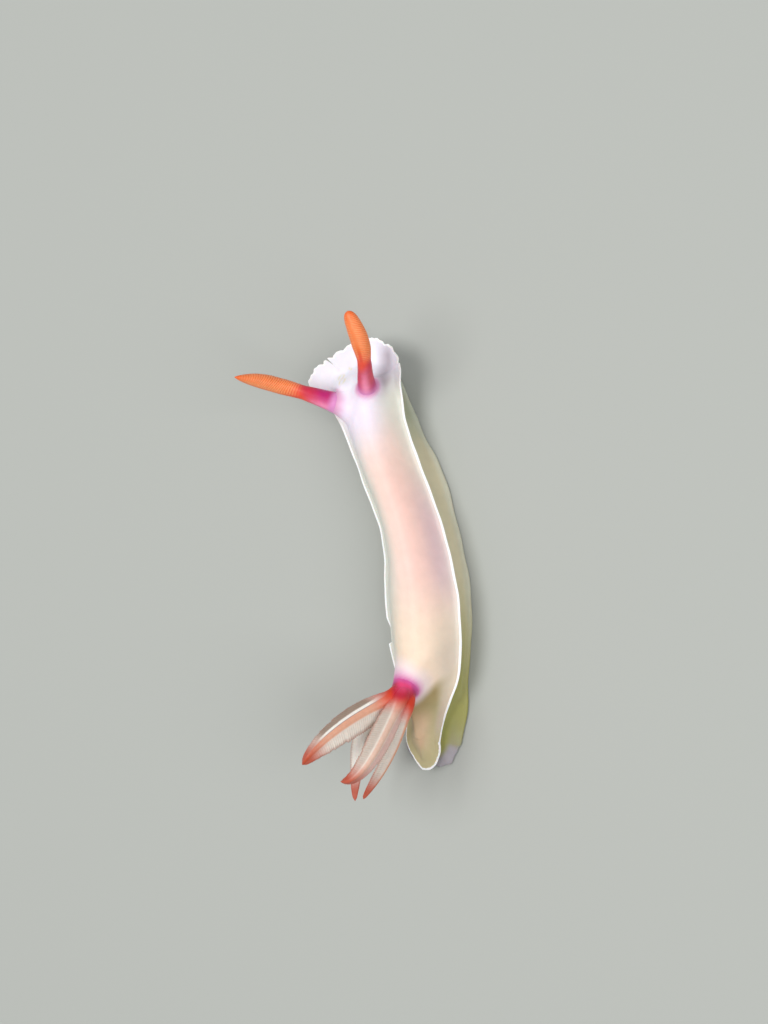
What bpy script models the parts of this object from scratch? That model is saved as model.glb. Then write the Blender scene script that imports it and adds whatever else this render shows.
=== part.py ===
"""A lavender split-tooth dorid, a sea slug 45 mm long, crawling with its gill swept back to its left.

The head points along +Y, the animal's right side along +X, and the sole lies on z = 0.
Sizes are in millimetres and turned to metres where a mesh is made.

A station says where a section lies. From 1 to 2 it runs down the spine, from the centre of the head to the
centre of the tail. From 0 to 1 the sections fan round the front of the hood, and from 2 to 3 round the tail.
"""

import math

import bmesh
import bpy
import numpy as np
from mathutils import Matrix, Vector

MM = 0.001
WELD = 1e-6
GAP = 0.3
# The middle of the whole model in plan, which becomes the origin.
PLAN_CENTRE = (0.234, -4.803)

# The spine in plan, from the centre of the head to the centre of the tail.
SPINE = [(-1.0, 12.6), (0.75, 8.6), (2.45, 4.4), (4.0, 1.0), (5.2, -2.6), (6.05, -6.6), (6.6, -10.8),
         (6.95, -15.0), (6.7, -19.2), (5.95, -23.2)]

# Sizes along the body, each as (station, size).
CREST_HEIGHT = [(0.0, 5.3), (1.0, 5.3), (1.08, 5.9), (1.2, 6.2), (1.45, 6.4), (1.65, 6.6), (1.8, 6.7),
                (1.88, 5.2), (1.95, 3.2), (2.0, 2.6), (3.0, 2.6)]
BRIM_RIGHT = [(0.0, 4.75), (0.17, 4.9), (0.42, 5.6), (0.7, 5.75), (0.85, 5.8), (1.0, 5.5), (1.05, 4.6),
              (1.09, 4.0), (1.14, 3.6), (1.31, 3.5), (1.43, 3.65), (1.52, 4.0), (1.62, 4.2), (1.73, 4.1),
              (1.84, 3.4), (1.92, 2.55), (2.0, 2.0), (2.5, 2.1), (3.0, 3.05)]
BRIM_LEFT = [(0.0, 4.75), (0.15, 4.8), (0.3, 5.15), (0.5, 5.9), (0.64, 6.1), (0.78, 5.3), (1.0, 3.8),
             (1.07, 3.5), (1.32, 3.5), (1.48, 3.75), (1.6, 4.4), (1.75, 4.3), (1.85, 3.6), (1.93, 2.75),
             (2.0, 2.15), (2.5, 2.25), (3.0, 3.05)]
BRIM_HEIGHT = [(0.0, 3.6), (1.0, 3.6), (1.1, 3.3), (1.3, 3.1), (1.7, 3.3), (1.85, 2.8), (1.95, 2.0),
               (2.0, 1.7), (3.0, 1.35)]
BRIM_WIDTH = [(0.0, 2.2), (0.6, 2.4), (0.9, 1.6), (1.05, 0.8), (1.15, 0.5), (2.0, 0.5), (3.0, 0.7)]
BRIM_FLARE = [(0.0, 0.4), (0.7, 0.5), (1.0, 0.4), (1.12, 0.12), (3.0, 0.1)]
FLANK_RADIUS = [(0.0, 2.5), (1.0, 2.5), (1.2, 2.7), (1.6, 3.0), (1.8, 2.8), (1.9, 1.9), (2.0, 1.4),
                (3.0, 2.0)]
FOOT_RADIUS = [(0.0, 3.0), (0.6, 3.2), (1.0, 3.4), (1.13, 3.5), (1.27, 4.1), (1.4, 3.85), (1.55, 4.0),
               (1.7, 3.75), (1.84, 2.95), (1.95, 3.0), (2.0, 3.05), (2.4, 3.5), (2.65, 3.5), (3.0, 3.1)]

# The mantle: rows of points over its dome as shares of the way out, and the powers that round the dome.
DOME_ROWS = np.array([0, 0.3, 0.52, 0.7, 0.84, 0.94, 1.0])
DOME_FULLNESS = 2.3
DOME_EASE = 1.25
BRIM_THICKNESS = 0.5
# How many stations further back the hump's right side is read, so that it leans to the left.
HUMP_SKEW = 0.03
SCALLOP_DEPTH = 0.22
SCALLOPS_LEFT = 6
SCALLOPS_RIGHT = 5
SCALLOPS_END = 1.04
SCALLOPS_FADE = 0.1
HOOD_STEPS = 30
MANTLE_STEP = 0.022

# The foot, whose upper surface falls from a seat under the mantle over a waist and a shoulder to its edge.
FOOT_WAIST_OUT = 0.25
FOOT_WAIST_UP = 0.35
FOOT_SHOULDER_WIDTH = 0.5
FOOT_SHOULDER_HEIGHT = 0.65
FOOT_SHOULDER_DROP = 0.05
FOOT_EDGE_HEIGHT = 0.4
SOLE_INSET = 0.15
FOREFOOT_STEPS = 10
FOOT_STEP = 0.03
TAIL_STEPS = 8

# The head under the hood. Behind the face the foot rises from the forefoot to the mantle.
FACE_STATION = 1.06
FACE_RISE = 0.01
FOREFOOT_TOP = 0.7
HEAD_LENGTH = 6.6
HEAD_WIDTH = 4.4
HEAD_HEIGHT = 2.6
HEAD_AHEAD = 0.1
LIP_SIZES = (1.1, 0.95, 1.5)
LIP_AHEAD = 2.95
LIP_ASIDE = 0.4
MOUTH_SIZES = (1.2, 0.22, 0.9)
MOUTH_AHEAD = 3.6
TRIM_SIZE = 20
TENTACLE_LENGTH = 1.5
TENTACLE_RADII = (0.42, 0.34, 0.15)
TENTACLE_TURN = 52
TENTACLE_HEIGHT = 1.75
TENTACLE_DROOP = 0.15
TENTACLE_CLEARANCE = 0.42

# The rhinophores, each as the places that its middle line passes, then its sizes.
RHINOPHORE_LEFT = [(-2.9, 11.3, 5.1), (-5.0, 12.1, 6.6), (-7.4, 12.9, 8.1), (-9.0, 13.5, 10.2),
                   (-10.1, 13.7, 12.8)]
RHINOPHORE_RIGHT = [(1.0, 12.4, 5.1), (2.0, 13.7, 7.2), (3.1, 15.3, 9.4), (3.6, 17.4, 11.3), (3.4, 19.75, 13.0)]
# The way across the broad face of each club.
CLUB_LEFT_ACROSS = (0.9, 0.1, 0.3)
CLUB_RIGHT_ACROSS = (1.0, 0.0, 0.0)
STALK_SHARE = 0.5
STALK_RADII = [1.05, 0.95, 0.8, 0.7, 0.68]
STALK_POINTS = 7
SHEATH_RADIUS = 1.3
SHEATH_RIM_RADIUS = 1.12
SHEATH_STAND = 0.55
SHEATH_ROOT = 1.6
CLUB_WIDTH = 2.1
CLUB_DEPTH = 1.45
# Share of the club's full size, from its neck (0) to its tip (1).
CLUB_SWELL = [(0.0, 0.68), (0.2, 0.92), (0.4, 1.0), (0.6, 0.95), (0.8, 0.755), (0.9, 0.56), (1.0, 0.18)]
CLUB_LAMELLAE = 12
CLUB_GROOVE = 0.82
CLUB_SLANT = 24
CLUB_SIDES = 14

# The gill: a stem on the rear of the hump, and six branches round its top.
GILL_BASE = (6.1, -17.4, 6.0)
GILL_HUB = (6.1, -18.6, 7.2)
GILL_STEM_RADII = (1.2, 1.2, 1.5)
GILL_STEM_STRAIGHT = 0.4
GILL_POCKET_RADIUS = 1.6
GILL_POCKET_SPREAD = 0.35
GILL_POCKET_STAND = 0.3
GILL_POCKET_ROOT = 1.6
BRANCH_RING = 1.04
BRANCH_RADII = [0.34, 0.4, 0.44, 0.42, 0.36, 0.14]
# For each branch: its tip and its middle from the hub, its breadth over both wings, its root's clock angle.
GILL_BRANCHES = [((-6.7, -6.2, 7.8), (-3.5, -1.8, 5.0), 3.1, 110),
                 ((-3.5, -7.9, 5.7), (-0.7, -4.5, 4.1), 2.6, 50),
                 ((-5.0, -10.7, 0.6), (-3.4, -5.6, 1.2), 2.0, 295),
                 ((-3.1, -10.0, 2.5), (-0.5, -5.7, 1.3), 2.3, 350),
                 ((-8.9, -5.5, 0.5), (-5.1, -2.6, 1.1), 2.2, 180),
                 ((-5.2, -7.6, -3.0), (-2.7, -3.7, -2.0), 1.9, 235)]
BRANCH_RISE = 1.5
BRANCH_POINTS = 25
# Leaflets on each wing, the shares of the branch that they span, and where in its own stretch each is full.
LEAFLETS = 10
LEAFLETS_FROM = 0.18
LEAFLETS_TO = 0.93
LEAFLET_FULL = (0.35, 0.75)
LEAFLET_LEAN = 0.35
LEAFLET_GROOVE = 0.5
WING_ANGLE = 112
# Half of a branch's section: degrees from its outer ridge, and how far the leaflets push it out.
WING_OUTLINE = [(0, 0), (52, 0), (90, 0.35), (WING_ANGLE, 1), (134, 0.35), (180, 0)]

# Where the body is parted, as stations.
MANTLE_CUTS = [("mantle_hood", 0.0, 1.13), ("mantle_front", 1.13, 1.39), ("mantle_middle", 1.39, 1.64),
               ("mantle_rear", 1.64, 1.915), ("mantle_tail", 1.915, 3.0)]
FOOT_CUTS = [("foot_front", 0.0, 1.26), ("foot_middle", 1.26, 1.64), ("foot_tail", 1.64, 3.0)]

# Colour and roughness of each sub-part.
FLESH = ((0.86, 0.78, 0.74), 0.35)
HOOD = ((0.93, 0.92, 0.93), 0.35)
FOOT = ((0.74, 0.72, 0.66), 0.4)
MAGENTA = ((0.62, 0.06, 0.26), 0.4)
ORANGE = ((0.85, 0.18, 0.05), 0.45)
CRIMSON = ((0.75, 0.05, 0.12), 0.4)
GILL = ((0.80, 0.45, 0.36), 0.45)


def through(knots, at):
    """Smooth curve through (station, size) knots that never overshoots between two of them."""
    x, y = np.array(knots, float).T
    at = np.clip(np.asarray(at, float), x[0], x[-1])
    step = np.diff(x)
    slope = np.diff(y) / step
    at_knot = np.zeros_like(y)
    same = slope[:-1] * slope[1:] > 0
    before = (2 * step[1:] + step[:-1])[same]
    after = (step[1:] + 2 * step[:-1])[same]
    at_knot[1:-1][same] = (before + after) / (before / slope[:-1][same] + after / slope[1:][same])
    at_knot[0] = slope[0]
    at_knot[-1] = slope[-1]
    i = np.clip(np.searchsorted(x, at) - 1, 0, len(step) - 1)
    t = (at - x[i]) / step[i]
    ends = y[i] * (1 + 2 * t) * (1 - t) ** 2 + y[i + 1] * t * t * (3 - 2 * t)
    return ends + step[i] * (at_knot[i] * t * (1 - t) ** 2 + at_knot[i + 1] * t * t * (t - 1))


def along(points, share):
    """Places on the smooth curve through the points, at shares 0 to 1 of its length."""
    points = np.array(points, float)
    reach = np.concatenate([[0], np.cumsum(np.linalg.norm(np.diff(points, axis=0), axis=1))])
    reach /= reach[-1]
    slope = np.gradient(points, reach, axis=0)
    share = np.clip(np.asarray(share, float), 0, 1)
    i = np.clip(np.searchsorted(reach, share) - 1, 0, len(reach) - 2)
    step = (reach[i + 1] - reach[i])[..., None]
    t = ((share - reach[i]) / (reach[i + 1] - reach[i]))[..., None]
    ends = points[i] * (1 + 2 * t) * (1 - t) ** 2 + points[i + 1] * t * t * (3 - 2 * t)
    return ends + step * (slope[i] * t * (1 - t) ** 2 + slope[i + 1] * t * t * (t - 1))


def unit(v):
    return v / np.linalg.norm(v, axis=-1, keepdims=True)


def direction(points, share, near=0.01):
    """Unit directions of the smooth curve through the points, at shares 0 to 1 of its length."""
    share = np.asarray(share, float)
    return unit(along(points, np.clip(share + near, 0, 1)) - along(points, np.clip(share - near, 0, 1)))


def path_length(points):
    return np.linalg.norm(np.diff(along(points, np.linspace(0, 1, 200)), axis=0), axis=1).sum()


def heading(share):
    """Unit directions of the spine towards the head."""
    return -direction(SPINE, share, 0.001)


def section_ways(station, side):
    """Centres of the sections, and the unit directions to the rim on one side (-1 left, 1 right)."""
    share = np.clip(station - 1, 0, 1)
    ahead = heading(share)
    across = side * np.stack([ahead[..., 1], -ahead[..., 0]], -1)
    front = (np.clip(1 - station, 0, 1) * math.pi / 2)[..., None]
    rear = (np.clip(station - 2, 0, 1) * math.pi / 2)[..., None]
    return along(SPINE, share), unit(across * np.cos(front + rear) + ahead * (np.sin(front) - np.sin(rear)))


def scallop(station, side):
    """How far the hood's rim draws in between its lobes."""
    lobes = SCALLOPS_RIGHT if side > 0 else SCALLOPS_LEFT
    on_hood = np.clip((SCALLOPS_END - station) / SCALLOPS_FADE, 0, 1)
    return on_hood * SCALLOP_DEPTH * (1 - np.abs(np.sin(math.pi * lobes * station)))


def steadied(station, x):
    """Stations for reading heights: a fan's sections all read the pole's own station at their centre."""
    pole = np.clip(station, 1, 2)
    return pole + (station - pole) * x * x * (3 - 2 * x)


def mantle_section(station, side):
    """Distances from the centre, and the heights of the mantle's top and underside, for stations by rows."""
    station = station[:, None]
    brim = through(BRIM_RIGHT if side > 0 else BRIM_LEFT, station)
    dome = brim - through(BRIM_WIDTH, station)
    rim = brim - scallop(station, side)
    r = np.concatenate([dome * DOME_ROWS, (dome + brim) / 2, rim], axis=1)
    x = r / brim
    read = steadied(station, x)
    flare = through(BRIM_FLARE, read)
    trough = through(BRIM_HEIGHT, read) - flare
    lift = flare * np.clip((r - dome) / (brim - dome), 0, 1) ** 2
    crest = through(CREST_HEIGHT, read + HUMP_SKEW * side * x)
    rise = np.clip(1 - np.clip(r / dome, 0, 1) ** DOME_FULLNESS, 0, 1) ** DOME_EASE
    half = BRIM_THICKNESS / 2
    top = trough + half + lift + (crest - trough - half) * rise
    return r, top, trough - half + lift


def foot_section(station, side):
    """Distances from the centre and heights of the foot's upper surface, from the middle out to its edge."""
    station = station[:, None]
    flank = through(FLANK_RADIUS, station)
    edge = through(FOOT_RADIUS, station)
    brim_middle = through(BRIM_HEIGHT, steadied(station, 0.5)) - through(BRIM_FLARE, station)
    under_mantle = brim_middle - BRIM_THICKNESS / 2 - GAP
    behind_face = np.clip((station - FACE_STATION) / FACE_RISE, 0, 1)
    seat = FOREFOOT_TOP + (under_mantle - FOREFOOT_TOP) * behind_face
    shoulder = np.minimum(FOOT_SHOULDER_HEIGHT, seat - FOOT_SHOULDER_DROP)
    shoulder_out = edge - FOOT_SHOULDER_WIDTH
    waist_out = flank + FOOT_WAIST_OUT * (shoulder_out - flank)
    r = np.concatenate([0 * flank, flank / 2, flank, waist_out, shoulder_out, edge], axis=1)
    waist = shoulder + FOOT_WAIST_UP * (seat - shoulder)
    z = np.concatenate([seat, seat, seat, waist, shoulder, np.minimum(FOOT_EDGE_HEIGHT, shoulder)], axis=1)
    return r, z


def sole_section(station, side):
    """Distances from the centre and heights of the flat sole, which lies inside the foot's edge."""
    edge = through(FOOT_RADIUS, station[:, None]) - SOLE_INSET
    r = np.concatenate([0 * edge, edge], axis=1)
    return r, 0 * r


def both_sides(station, rows):
    """Points across the body, from the left rim over the centre to the right rim, for each station."""
    halves = []
    for side in (-1, 1):
        centre, way = section_ways(station, side)
        r, z = rows(station, side)
        plan = centre[:, None, :] + way[:, None, :] * r[..., None]
        halves.append(np.concatenate([plan, z[..., None]], axis=2))
    left, right = halves
    return np.concatenate([left[:, ::-1], right[:, 1:]], axis=1)


def quads(rows, columns, start, flip):
    """Triangles of a grid, every square split along the same diagonal."""
    i, j = np.meshgrid(np.arange(rows - 1), np.arange(columns - 1), indexing="ij")
    a = (start + i * columns + j).ravel()
    b, c, d = a + 1, a + columns + 1, a + columns
    triangles = np.concatenate([np.stack([a, b, c], 1), np.stack([a, c, d], 1)])
    return (triangles[:, ::-1] if flip else triangles).tolist()


def mesh_object(name, points, faces):
    """An object from points in millimetres, with doubled points welded and its faces turned outwards."""
    mesh = bpy.data.meshes.new(name)
    mesh.from_pydata((np.asarray(points) * MM).tolist(), [], faces)
    shape = bmesh.new()
    shape.from_mesh(mesh)
    bmesh.ops.remove_doubles(shape, verts=shape.verts, dist=WELD)
    bmesh.ops.recalc_face_normals(shape, faces=shape.faces)
    shape.to_mesh(mesh)
    shape.free()
    made = bpy.data.objects.new(name, mesh)
    bpy.context.scene.collection.objects.link(made)
    return made


def body_slab(name, upper, lower, first, last):
    """A closed body between two sheets of points, stations by columns, with its cut ends capped."""
    count, wide, narrow = upper.shape[0], upper.shape[1], lower.shape[1]
    start = count * wide
    faces = quads(count, wide, 0, False) + quads(count, narrow, start, True)
    for i in range(count - 1):
        a, b = i * wide, start + i * narrow
        faces.append((a, a + wide, b + narrow, b))
        a, b = a + wide - 1, b + narrow - 1
        faces.append((a + wide, a, b, b + narrow))
    for i, cut in ((0, first > 0), (count - 1, last < 3)):
        if cut:
            over = list(range(i * wide, (i + 1) * wide))
            under = list(range(start + i * narrow, start + (i + 1) * narrow))
            faces.append(over + under[::-1])
    return mesh_object(name, np.concatenate([upper.reshape(-1, 3), lower.reshape(-1, 3)]), faces)


def stations_between(first, last, hood_steps, spine_step):
    """Stations of a length of the body, half a gap short of each cut."""
    half_gap = GAP / 2 / path_length(SPINE)
    low = first + (half_gap if first > 0 else 0)
    high = last - (half_gap if last < 3 else 0)
    begin, end = max(low, 1), min(high, 2)
    parts = [np.linspace(begin, end, round((end - begin) / spine_step) + 1)]
    if low < 1:
        parts.insert(0, np.linspace(0, 1, hood_steps + 1)[:-1])
    if high > 2:
        parts.append(np.linspace(2, 3, TAIL_STEPS + 1)[1:])
    return np.concatenate(parts)


def mantle_length(name, first, last):
    station = stations_between(first, last, HOOD_STEPS, MANTLE_STEP)
    upper = both_sides(station, lambda s, side: mantle_section(s, side)[:2])
    lower = both_sides(station, lambda s, side: mantle_section(s, side)[::2])
    return body_slab(name, upper, lower, first, last)


def foot_length(name, first, last):
    station = stations_between(first, last, FOREFOOT_STEPS, FOOT_STEP)
    if first < FACE_STATION < last:
        station = np.unique(np.concatenate([station, [FACE_STATION, FACE_STATION + FACE_RISE]]))
    return body_slab(name, both_sides(station, foot_section), both_sides(station, sole_section), first, last)


def turned_to(way, toward=(0, 0, 1)):
    """Rotation that takes +Z to the way given, with +X as near as it can be to the second direction."""
    z = Vector(way).normalized()
    x = Vector(toward)
    x = (x - x.dot(z) * z).normalized()
    return Matrix((x, z.cross(x), z)).transposed()


def solid(name, make, placed, **sizes):
    """An object made by one of bmesh's own primitives, with the placing matrix put into its mesh."""
    shape = bmesh.new()
    make(shape, **sizes)
    bmesh.ops.transform(shape, matrix=placed, verts=shape.verts)
    mesh = bpy.data.meshes.new(name)
    shape.to_mesh(mesh)
    shape.free()
    made = bpy.data.objects.new(name, mesh)
    bpy.context.scene.collection.objects.link(made)
    return made


def cone(name, centre, way, radius, end_radius, length, sides=16):
    """A cone or cylinder whose middle is at the centre, in millimetres."""
    placed = Matrix.Translation(Vector(centre) * MM) @ turned_to(way, (0.3, 1, 0.2)).to_4x4()
    return solid(name, bmesh.ops.create_cone, placed, cap_ends=True, segments=sides,
                 radius1=radius * MM, radius2=end_radius * MM, depth=length * MM)


def ellipsoid(name, centre, ahead, sizes, rows, columns):
    """An ellipsoid with its length along the way ahead, from its full length, width and height."""
    scale = Matrix.Diagonal((sizes[1] / 2 * MM, sizes[2] / 2 * MM, sizes[0] / 2 * MM, 1))
    right = (ahead[1], -ahead[0], 0)
    placed = Matrix.Translation(Vector(centre) * MM) @ turned_to(ahead, right).to_4x4() @ scale
    return solid(name, bmesh.ops.create_uvsphere, placed, u_segments=columns, v_segments=rows, radius=1)


def box(name, centre, ahead, sizes):
    """A box with its length along the way ahead, from its full length, width and height."""
    scale = Matrix.Diagonal((sizes[1] * MM, sizes[2] * MM, sizes[0] * MM, 1))
    right = (ahead[1], -ahead[0], 0)
    placed = Matrix.Translation(Vector(centre) * MM) @ turned_to(ahead, right).to_4x4() @ scale
    return solid(name, bmesh.ops.create_cube, placed, size=1)


def largest_shell(obj):
    """Keeps only the largest closed surface of the object's mesh."""
    shape = bmesh.new()
    shape.from_mesh(obj.data)
    left = set(shape.verts)
    shells = []
    while left:
        shell = {left.pop()}
        edge = set(shell)
        while edge:
            edge = {other.other_vert(v) for v in edge for other in v.link_edges} - shell
            shell |= edge
        left -= shell
        shells.append(shell)
    largest = max(shells, key=len)
    loose = [v for shell in shells if shell is not largest for v in shell]
    bmesh.ops.delete(shape, geom=loose, context="VERTS")
    shape.to_mesh(obj.data)
    shape.free()


def combined(obj, others, operation):
    """Applies one Boolean of the object with a collection of others, which are then removed."""
    group = bpy.data.collections.new("cutters")
    for other in others:
        group.objects.link(other)
        other.hide_render = True
        other.display_type = "WIRE"
    boolean = obj.modifiers.new(operation.title(), "BOOLEAN")
    boolean.operation = operation
    boolean.operand_type = "COLLECTION"
    boolean.collection = group
    evaluated = obj.evaluated_get(bpy.context.evaluated_depsgraph_get())
    mesh = bpy.data.meshes.new_from_object(evaluated)
    obj.modifiers.clear()
    obj.data = mesh
    for other in others:
        bpy.data.objects.remove(other)
    bpy.data.collections.remove(group)
    largest_shell(obj)
    return obj


def tube(name, points, radii, roundness):
    """A tapering tube: a curve through the points in millimetres, with a radius at each."""
    curve = bpy.data.curves.new(name, "CURVE")
    curve.dimensions = "3D"
    curve.bevel_depth = MM
    curve.bevel_resolution = roundness
    curve.use_fill_caps = True
    spline = curve.splines.new("POLY")
    spline.points.add(len(points) - 1)
    for point, place, radius in zip(spline.points, points, radii):
        point.co = (*(np.array(place) * MM), 1)
        point.radius = radius
    made = bpy.data.objects.new(name, curve)
    bpy.context.scene.collection.objects.link(made)
    return made


def loft(name, rings):
    """A closed body through rings of points, its two end rings filled."""
    count, sides = rings.shape[:2]
    faces = []
    for i in range(count - 1):
        for j in range(sides):
            a, b = i * sides + j, i * sides + (j + 1) % sides
            faces += [(a, b, b + sides), (a, b + sides, a + sides)]
    faces.append(list(range(sides))[::-1])
    faces.append(list(range((count - 1) * sides, count * sides)))
    return mesh_object(name, rings.reshape(-1, 3), faces)


def body_ahead():
    """Direction of the head in plan, as a 3-D vector."""
    return np.append(heading(0.0), 0.0)


def sheath_frame(route):
    """The way that a rhinophore leaves the hood, and the centre of its sheath's rim."""
    way = unit(np.array(route[1]) - np.array(route[0]))
    return way, np.array(route[0]) + way * SHEATH_STAND


def make_sheath(route):
    """The low collar that a rhinophore stands in, with a root that reaches down into the hood."""
    way, rim = sheath_frame(route)
    length = SHEATH_STAND + SHEATH_ROOT
    return cone("sheath", rim - way * length / 2, way, SHEATH_RADIUS, SHEATH_RIM_RADIUS, length)


def make_rhinophore(side_name, route, across):
    """The stalk and the club of one rhinophore, with a thin gap between them."""
    way, rim = sheath_frame(route)
    path = [tuple(rim + way * GAP)] + route[1:]
    half_gap = GAP / 2 / path_length(path)
    share = np.linspace(0, STALK_SHARE - half_gap, STALK_POINTS)
    radii = np.interp(share, np.linspace(0, STALK_SHARE, len(STALK_RADII)), STALK_RADII)
    stalk = tube("rhinophore_stalk_" + side_name, along(path, share), radii, 4)
    return stalk, make_club("rhinophore_club_" + side_name, path, STALK_SHARE + half_gap, across)


def make_club(name, path, first, across):
    """A flattened club ringed by slanting lamellae, each a ridge raised between two grooves."""
    count = 2 * CLUB_LAMELLAE + 1
    row = np.arange(count + 2)
    share = np.clip((row - 0.5) / count, 0, 1)
    at = first + (1 - first) * share
    middle = along(path, at)
    way = direction(path, at)
    across = np.array(across, float)
    wide = unit(across - (way @ across)[:, None] * way)
    deep = np.cross(way, wide)
    size = through(CLUB_SWELL, share) * np.where(row % 2, 1.0, CLUB_GROOVE) / 2
    turns = np.linspace(0, 2 * math.pi, CLUB_SIDES, endpoint=False)
    sideways = CLUB_WIDTH * size[:, None] * np.cos(turns)
    forwards = CLUB_DEPTH * size[:, None] * np.sin(turns)
    slant = math.tan(math.radians(CLUB_SLANT)) * np.clip(3 * np.minimum(share, 1 - share), 0, 1)
    drop = slant[:, None] * forwards
    rings = (middle[:, None] + sideways[..., None] * wide[:, None] + forwards[..., None] * deep[:, None]
             - drop[..., None] * way[:, None])
    return loft(name, rings)


def gill_frame():
    """The stem's direction, and two directions square to it that read as 0 and 90 degrees on its clock."""
    way = unit(np.array(GILL_HUB) - np.array(GILL_BASE))
    zero = np.array([1.0, 0, 0])
    zero = unit(zero - zero.dot(way) * way)
    return way, zero, np.cross(way, zero)


def gill_pocket():
    """The low collar on the hump that the gill's stem stands in."""
    way, _, _ = gill_frame()
    length = GILL_POCKET_STAND + GILL_POCKET_ROOT
    middle = np.array(GILL_BASE) + way * (GILL_POCKET_STAND - length / 2)
    return cone("pocket", middle, way, GILL_POCKET_RADIUS + GILL_POCKET_SPREAD, GILL_POCKET_RADIUS, length)


def make_gill_stem():
    """The thick stalk of the gill, straight at first and spreading to the crown."""
    way, _, _ = gill_frame()
    start = np.array(GILL_BASE) + way * (GILL_POCKET_STAND + GAP)
    waist = start + way * GILL_STEM_STRAIGHT
    return tube("gill_stem", [start, waist, GILL_HUB], GILL_STEM_RADII, 5)


def branch_path(tip, middle, clock):
    """A branch's middle line: a cubic curve out of the crown along the stem, through its middle, to its tip."""
    way, zero, ninety = gill_frame()
    angle = math.radians(clock)
    hub = np.array(GILL_HUB)
    root = hub + way * GAP + BRANCH_RING * (zero * math.cos(angle) + ninety * math.sin(angle))
    tip = hub + np.array(tip)
    rise = root + way * BRANCH_RISE
    bend = (8 * (hub + np.array(middle)) - root - 3 * rise - tip) / 3
    t = np.linspace(0, 1, BRANCH_POINTS)[:, None]
    return root * (1 - t) ** 3 + 3 * rise * t * (1 - t) ** 2 + 3 * bend * t * t * (1 - t) + tip * t ** 3


def leaflet_stations():
    """Shares along a branch where its rings lie, and how far the leaflets are grown at each, from 0 to 1."""
    rings = [(0.0, 0.0), (LEAFLETS_FROM / 2, 0.0)]
    step = (LEAFLETS_TO - LEAFLETS_FROM) / LEAFLETS
    for k in range(LEAFLETS):
        start = LEAFLETS_FROM + k * step
        rings.append((start, LEAFLET_GROOVE))
        rings += [(start + full * step, 1.0) for full in LEAFLET_FULL]
    rings += [(LEAFLETS_TO, LEAFLET_GROOVE), (1.0, 0.0)]
    return np.array(rings).T


def make_branch(number, tip, middle, breadth, clock):
    """A three-edged rachis with two rows of leaflets, raised as flaps in its own surface."""
    path = branch_path(tip, middle, clock)
    share, grown = leaflet_stations()
    place = along(path, share)
    way = direction(path, share, 0.02)
    outer = np.array(tip) - np.mean([branch[0] for branch in GILL_BRANCHES], axis=0)
    ridge = unit(outer - (way @ outer)[:, None] * way)
    core = np.interp(share, np.linspace(0, 1, len(BRANCH_RADII)), BRANCH_RADII)
    reach = breadth / 2 / math.sin(math.radians(WING_ANGLE)) - core
    swell = np.clip(np.sin(math.pi * share ** 0.9), 0, 1) ** 0.75
    outline = WING_OUTLINE + [(-angle, push) for angle, push in WING_OUTLINE[-2:0:-1]]
    angle, outline_push = np.array(outline).T
    angle = np.radians(angle)[:, None]
    push = (grown * reach * swell)[:, None] * outline_push
    spread = np.cos(angle) * ridge[:, None] + np.sin(angle) * np.cross(way, ridge)[:, None]
    lean = (push * LEAFLET_LEAN)[..., None] * way[:, None]
    rings = place[:, None] + spread * (core[:, None] + push)[..., None] + lean
    return loft(f"gill_branch_{number}", rings)


def make_head():
    """The face under the hood: a bulb with two lips either side of an upright mouth slit."""
    ahead = body_ahead()
    right = np.array([ahead[1], -ahead[0], 0])
    roof = through(BRIM_HEIGHT, 1.0) - through(BRIM_FLARE, 1.0) - BRIM_THICKNESS / 2 - GAP
    floor = FOREFOOT_TOP + GAP
    middle = np.append(SPINE[0], (roof + floor) / 2)
    head = ellipsoid("head", middle + ahead * HEAD_AHEAD, ahead, (HEAD_LENGTH, HEAD_WIDTH, HEAD_HEIGHT), 12, 20)
    lips = [ellipsoid("lip", middle + ahead * LIP_AHEAD + right * aside, ahead, LIP_SIZES, 8, 12)
            for aside in (-LIP_ASIDE, LIP_ASIDE)]
    combined(head, lips, "UNION")
    mouth = box("mouth", middle + ahead * MOUTH_AHEAD, ahead, MOUTH_SIZES)
    neck_share = FACE_STATION - 1
    neck_way = np.append(heading(neck_share), 0)
    neck = np.append(along(SPINE, neck_share), 0)
    trim = (TRIM_SIZE, TRIM_SIZE, TRIM_SIZE)
    reach = TRIM_SIZE / 2
    rear = box("rear", neck - neck_way * (reach - GAP), neck_way, trim)
    above = box("above", np.append(SPINE[0], roof + reach), ahead, trim)
    below = box("below", np.append(SPINE[0], floor - reach), ahead, trim)
    return combined(head, [mouth, rear, above, below], "DIFFERENCE")


def make_tentacle(name, side):
    """A blunt oral tentacle beside the lips, standing clear of the head by the gap."""
    ahead = body_ahead()
    right = np.array([ahead[1], -ahead[0], 0])
    turn = math.radians(TENTACLE_TURN)
    way = ahead * math.cos(turn) + side * right * math.sin(turn)
    reach = 0.5 / math.hypot(math.cos(turn) / HEAD_LENGTH, math.sin(turn) / HEAD_WIDTH)
    root = np.append(SPINE[0], TENTACLE_HEIGHT) + way * (reach + TENTACLE_CLEARANCE)
    tip = root + way * TENTACLE_LENGTH - np.array([0, 0, TENTACLE_DROOP])
    return tube(name, [root, root + way * TENTACLE_LENGTH / 2, tip], TENTACLE_RADII, 3)


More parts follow.
